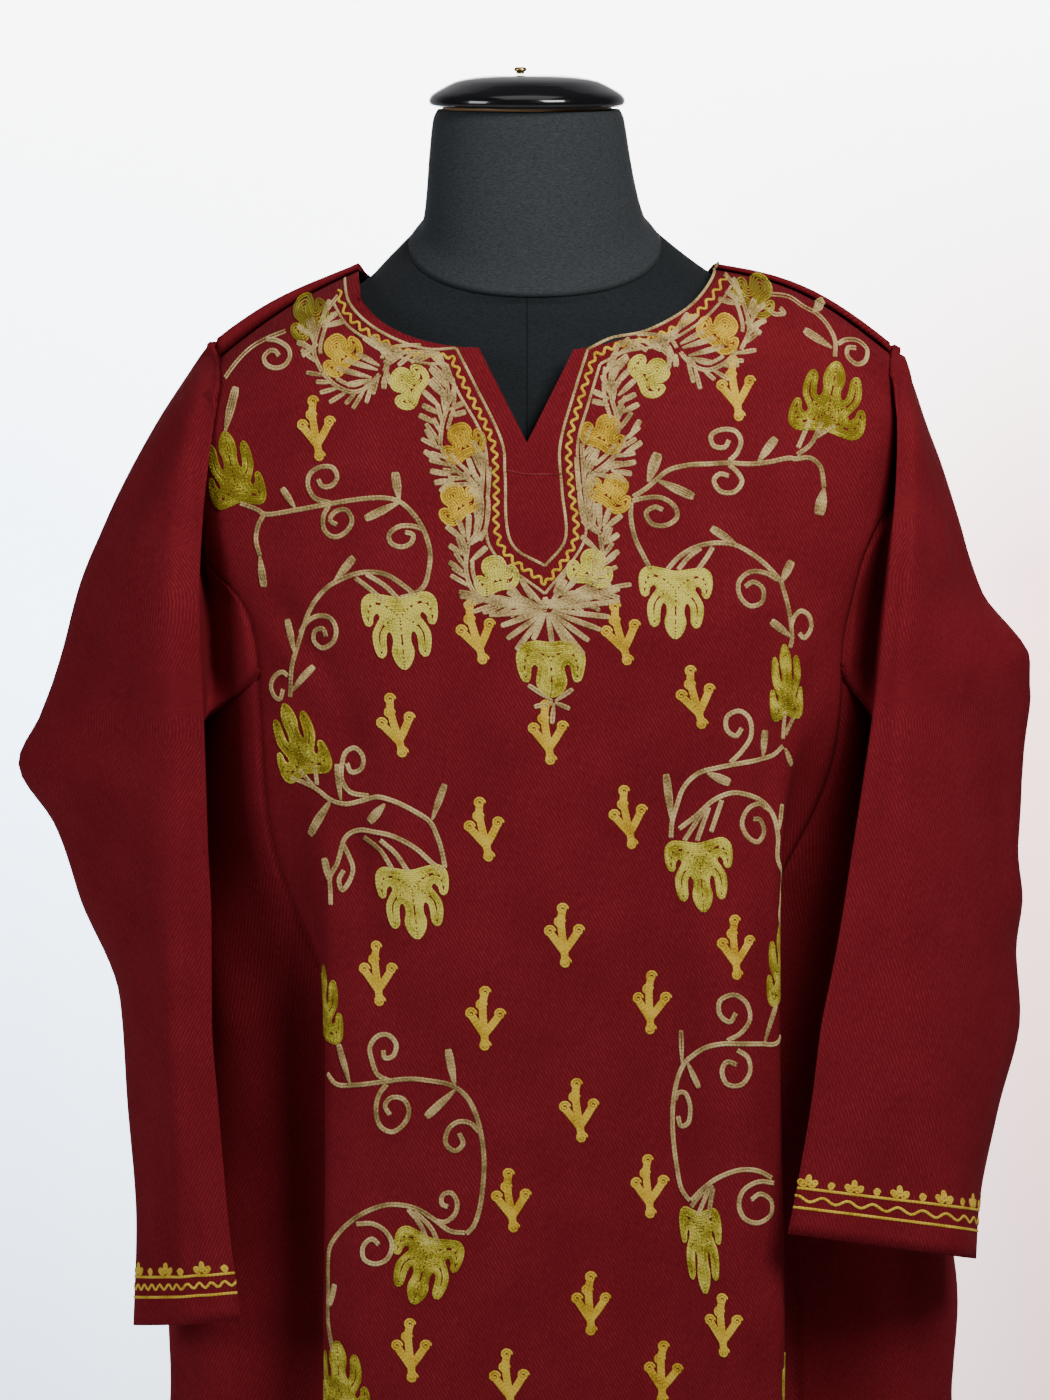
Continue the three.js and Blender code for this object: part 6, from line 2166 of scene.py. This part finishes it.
class Studio:
    """The floor, backdrop, lamps and camera of the photo."""

    TARGET = Vector((-0.0012, -0.130, 1.152))
    PITCH = math.radians(7.0)
    DISTANCE = 3.5
    HALF_PICTURE = 700.0
    FOCAL = 5833.33

    def build(self) -> None:
        """Sets up everything that is not part of the object."""
        self.backdrop()
        self.lamp("key", (0.80, -1.25, 2.30), 0.7, 26.0, (1.0, 0.975, 0.95))
        self.lamp("fill", (-2.1, -1.25, 1.8), 1.0, 19.0, (0.96, 0.98, 1.0))
        self.lamp("top", (0.0, -0.4, 3.2), 1.4, 5.0, (1.0, 1.0, 1.0))
        world = bpy.data.worlds.new("studio")
        world.use_nodes = True
        world.node_tree.nodes["Background"].inputs["Color"].default_value = (0.80, 0.82, 0.86, 1.0)
        world.node_tree.nodes["Background"].inputs["Strength"].default_value = 0.08
        bpy.context.scene.world = world
        self.camera()

    def backdrop(self) -> None:
        """A floor that curves up into a wall."""
        turn = np.linspace(0, math.pi / 2, 16)[1:]
        depth = np.concatenate([np.linspace(-3000, 1200, 8), 1200 + 900 * np.sin(turn), [2100, 2100]])
        rise = np.concatenate([np.zeros(8), 900 * (1 - np.cos(turn)), [2500, 4200]])
        across = np.linspace(-4000, 4000, 9)
        points = np.array([[x, y, z] for y, z in zip(depth, rise) for x in across])
        quads = grid_quads(len(depth), len(across))[:, ::-1]
        sweep = Piece("backdrop", points, quads)
        sweep.mesh.materials.append(Backdrop("paper").material())

    def lamp(
        self, name: str, place: tuple[float, float, float], size: float, power: float, colour: Colour
    ) -> None:
        """A square soft lamp that faces the garment."""
        data = bpy.data.lights.new(name, "AREA")
        data.size = size
        data.energy = power
        data.color = colour
        lamp = bpy.data.objects.new(name, data)
        lamp.location = place
        aim = Vector((0.0, 0.0, 1.1)) - lamp.location
        lamp.rotation_euler = aim.to_track_quat("-Z", "Y").to_euler()
        bpy.context.scene.collection.objects.link(lamp)

    def camera(self) -> None:
        """A camera that frames the garment as the photo does."""
        data = bpy.data.cameras.new("camera")
        data.sensor_fit = "VERTICAL"
        data.angle = 2.0 * math.atan(self.HALF_PICTURE / self.FOCAL)
        camera = bpy.data.objects.new("camera", data)
        back = Vector((0.0, -math.cos(self.PITCH), math.sin(self.PITCH))) * self.DISTANCE
        camera.location = self.TARGET + back
        camera.rotation_euler = (math.radians(90.0) - self.PITCH, 0.0, 0.0)
        bpy.context.scene.collection.objects.link(camera)
        bpy.context.scene.camera = camera


def main() -> None:
    """Builds the part and the studio round it."""
    logging.basicConfig(level=logging.INFO, format="%(message)s")
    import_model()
    garment = Garment()
    cloth = garment.build()
    front_work = Embroidery(garment.body).build()
    left_cuff = CuffWork(garment.left_sleeve(), 17.0, 23.0, 29.0, 9.0)
    right_cuff = CuffWork(garment.right_sleeve(), 16.0, 21.5, 27.5, 17.0)
    sewn = {
        "front_panel": front_work,
        "sleeve_left": [left_cuff.build("cuff_stitches_left")],
        "sleeve_right": [right_cuff.build("cuff_stitches_right")],
    }
    build_form()
    build_stand()
    for cut in CUTS:
        cut.declare(cloth[cut.node], sewn.get(cut.node, []))
    Studio().build()


if __name__ == "__main__":
    main()
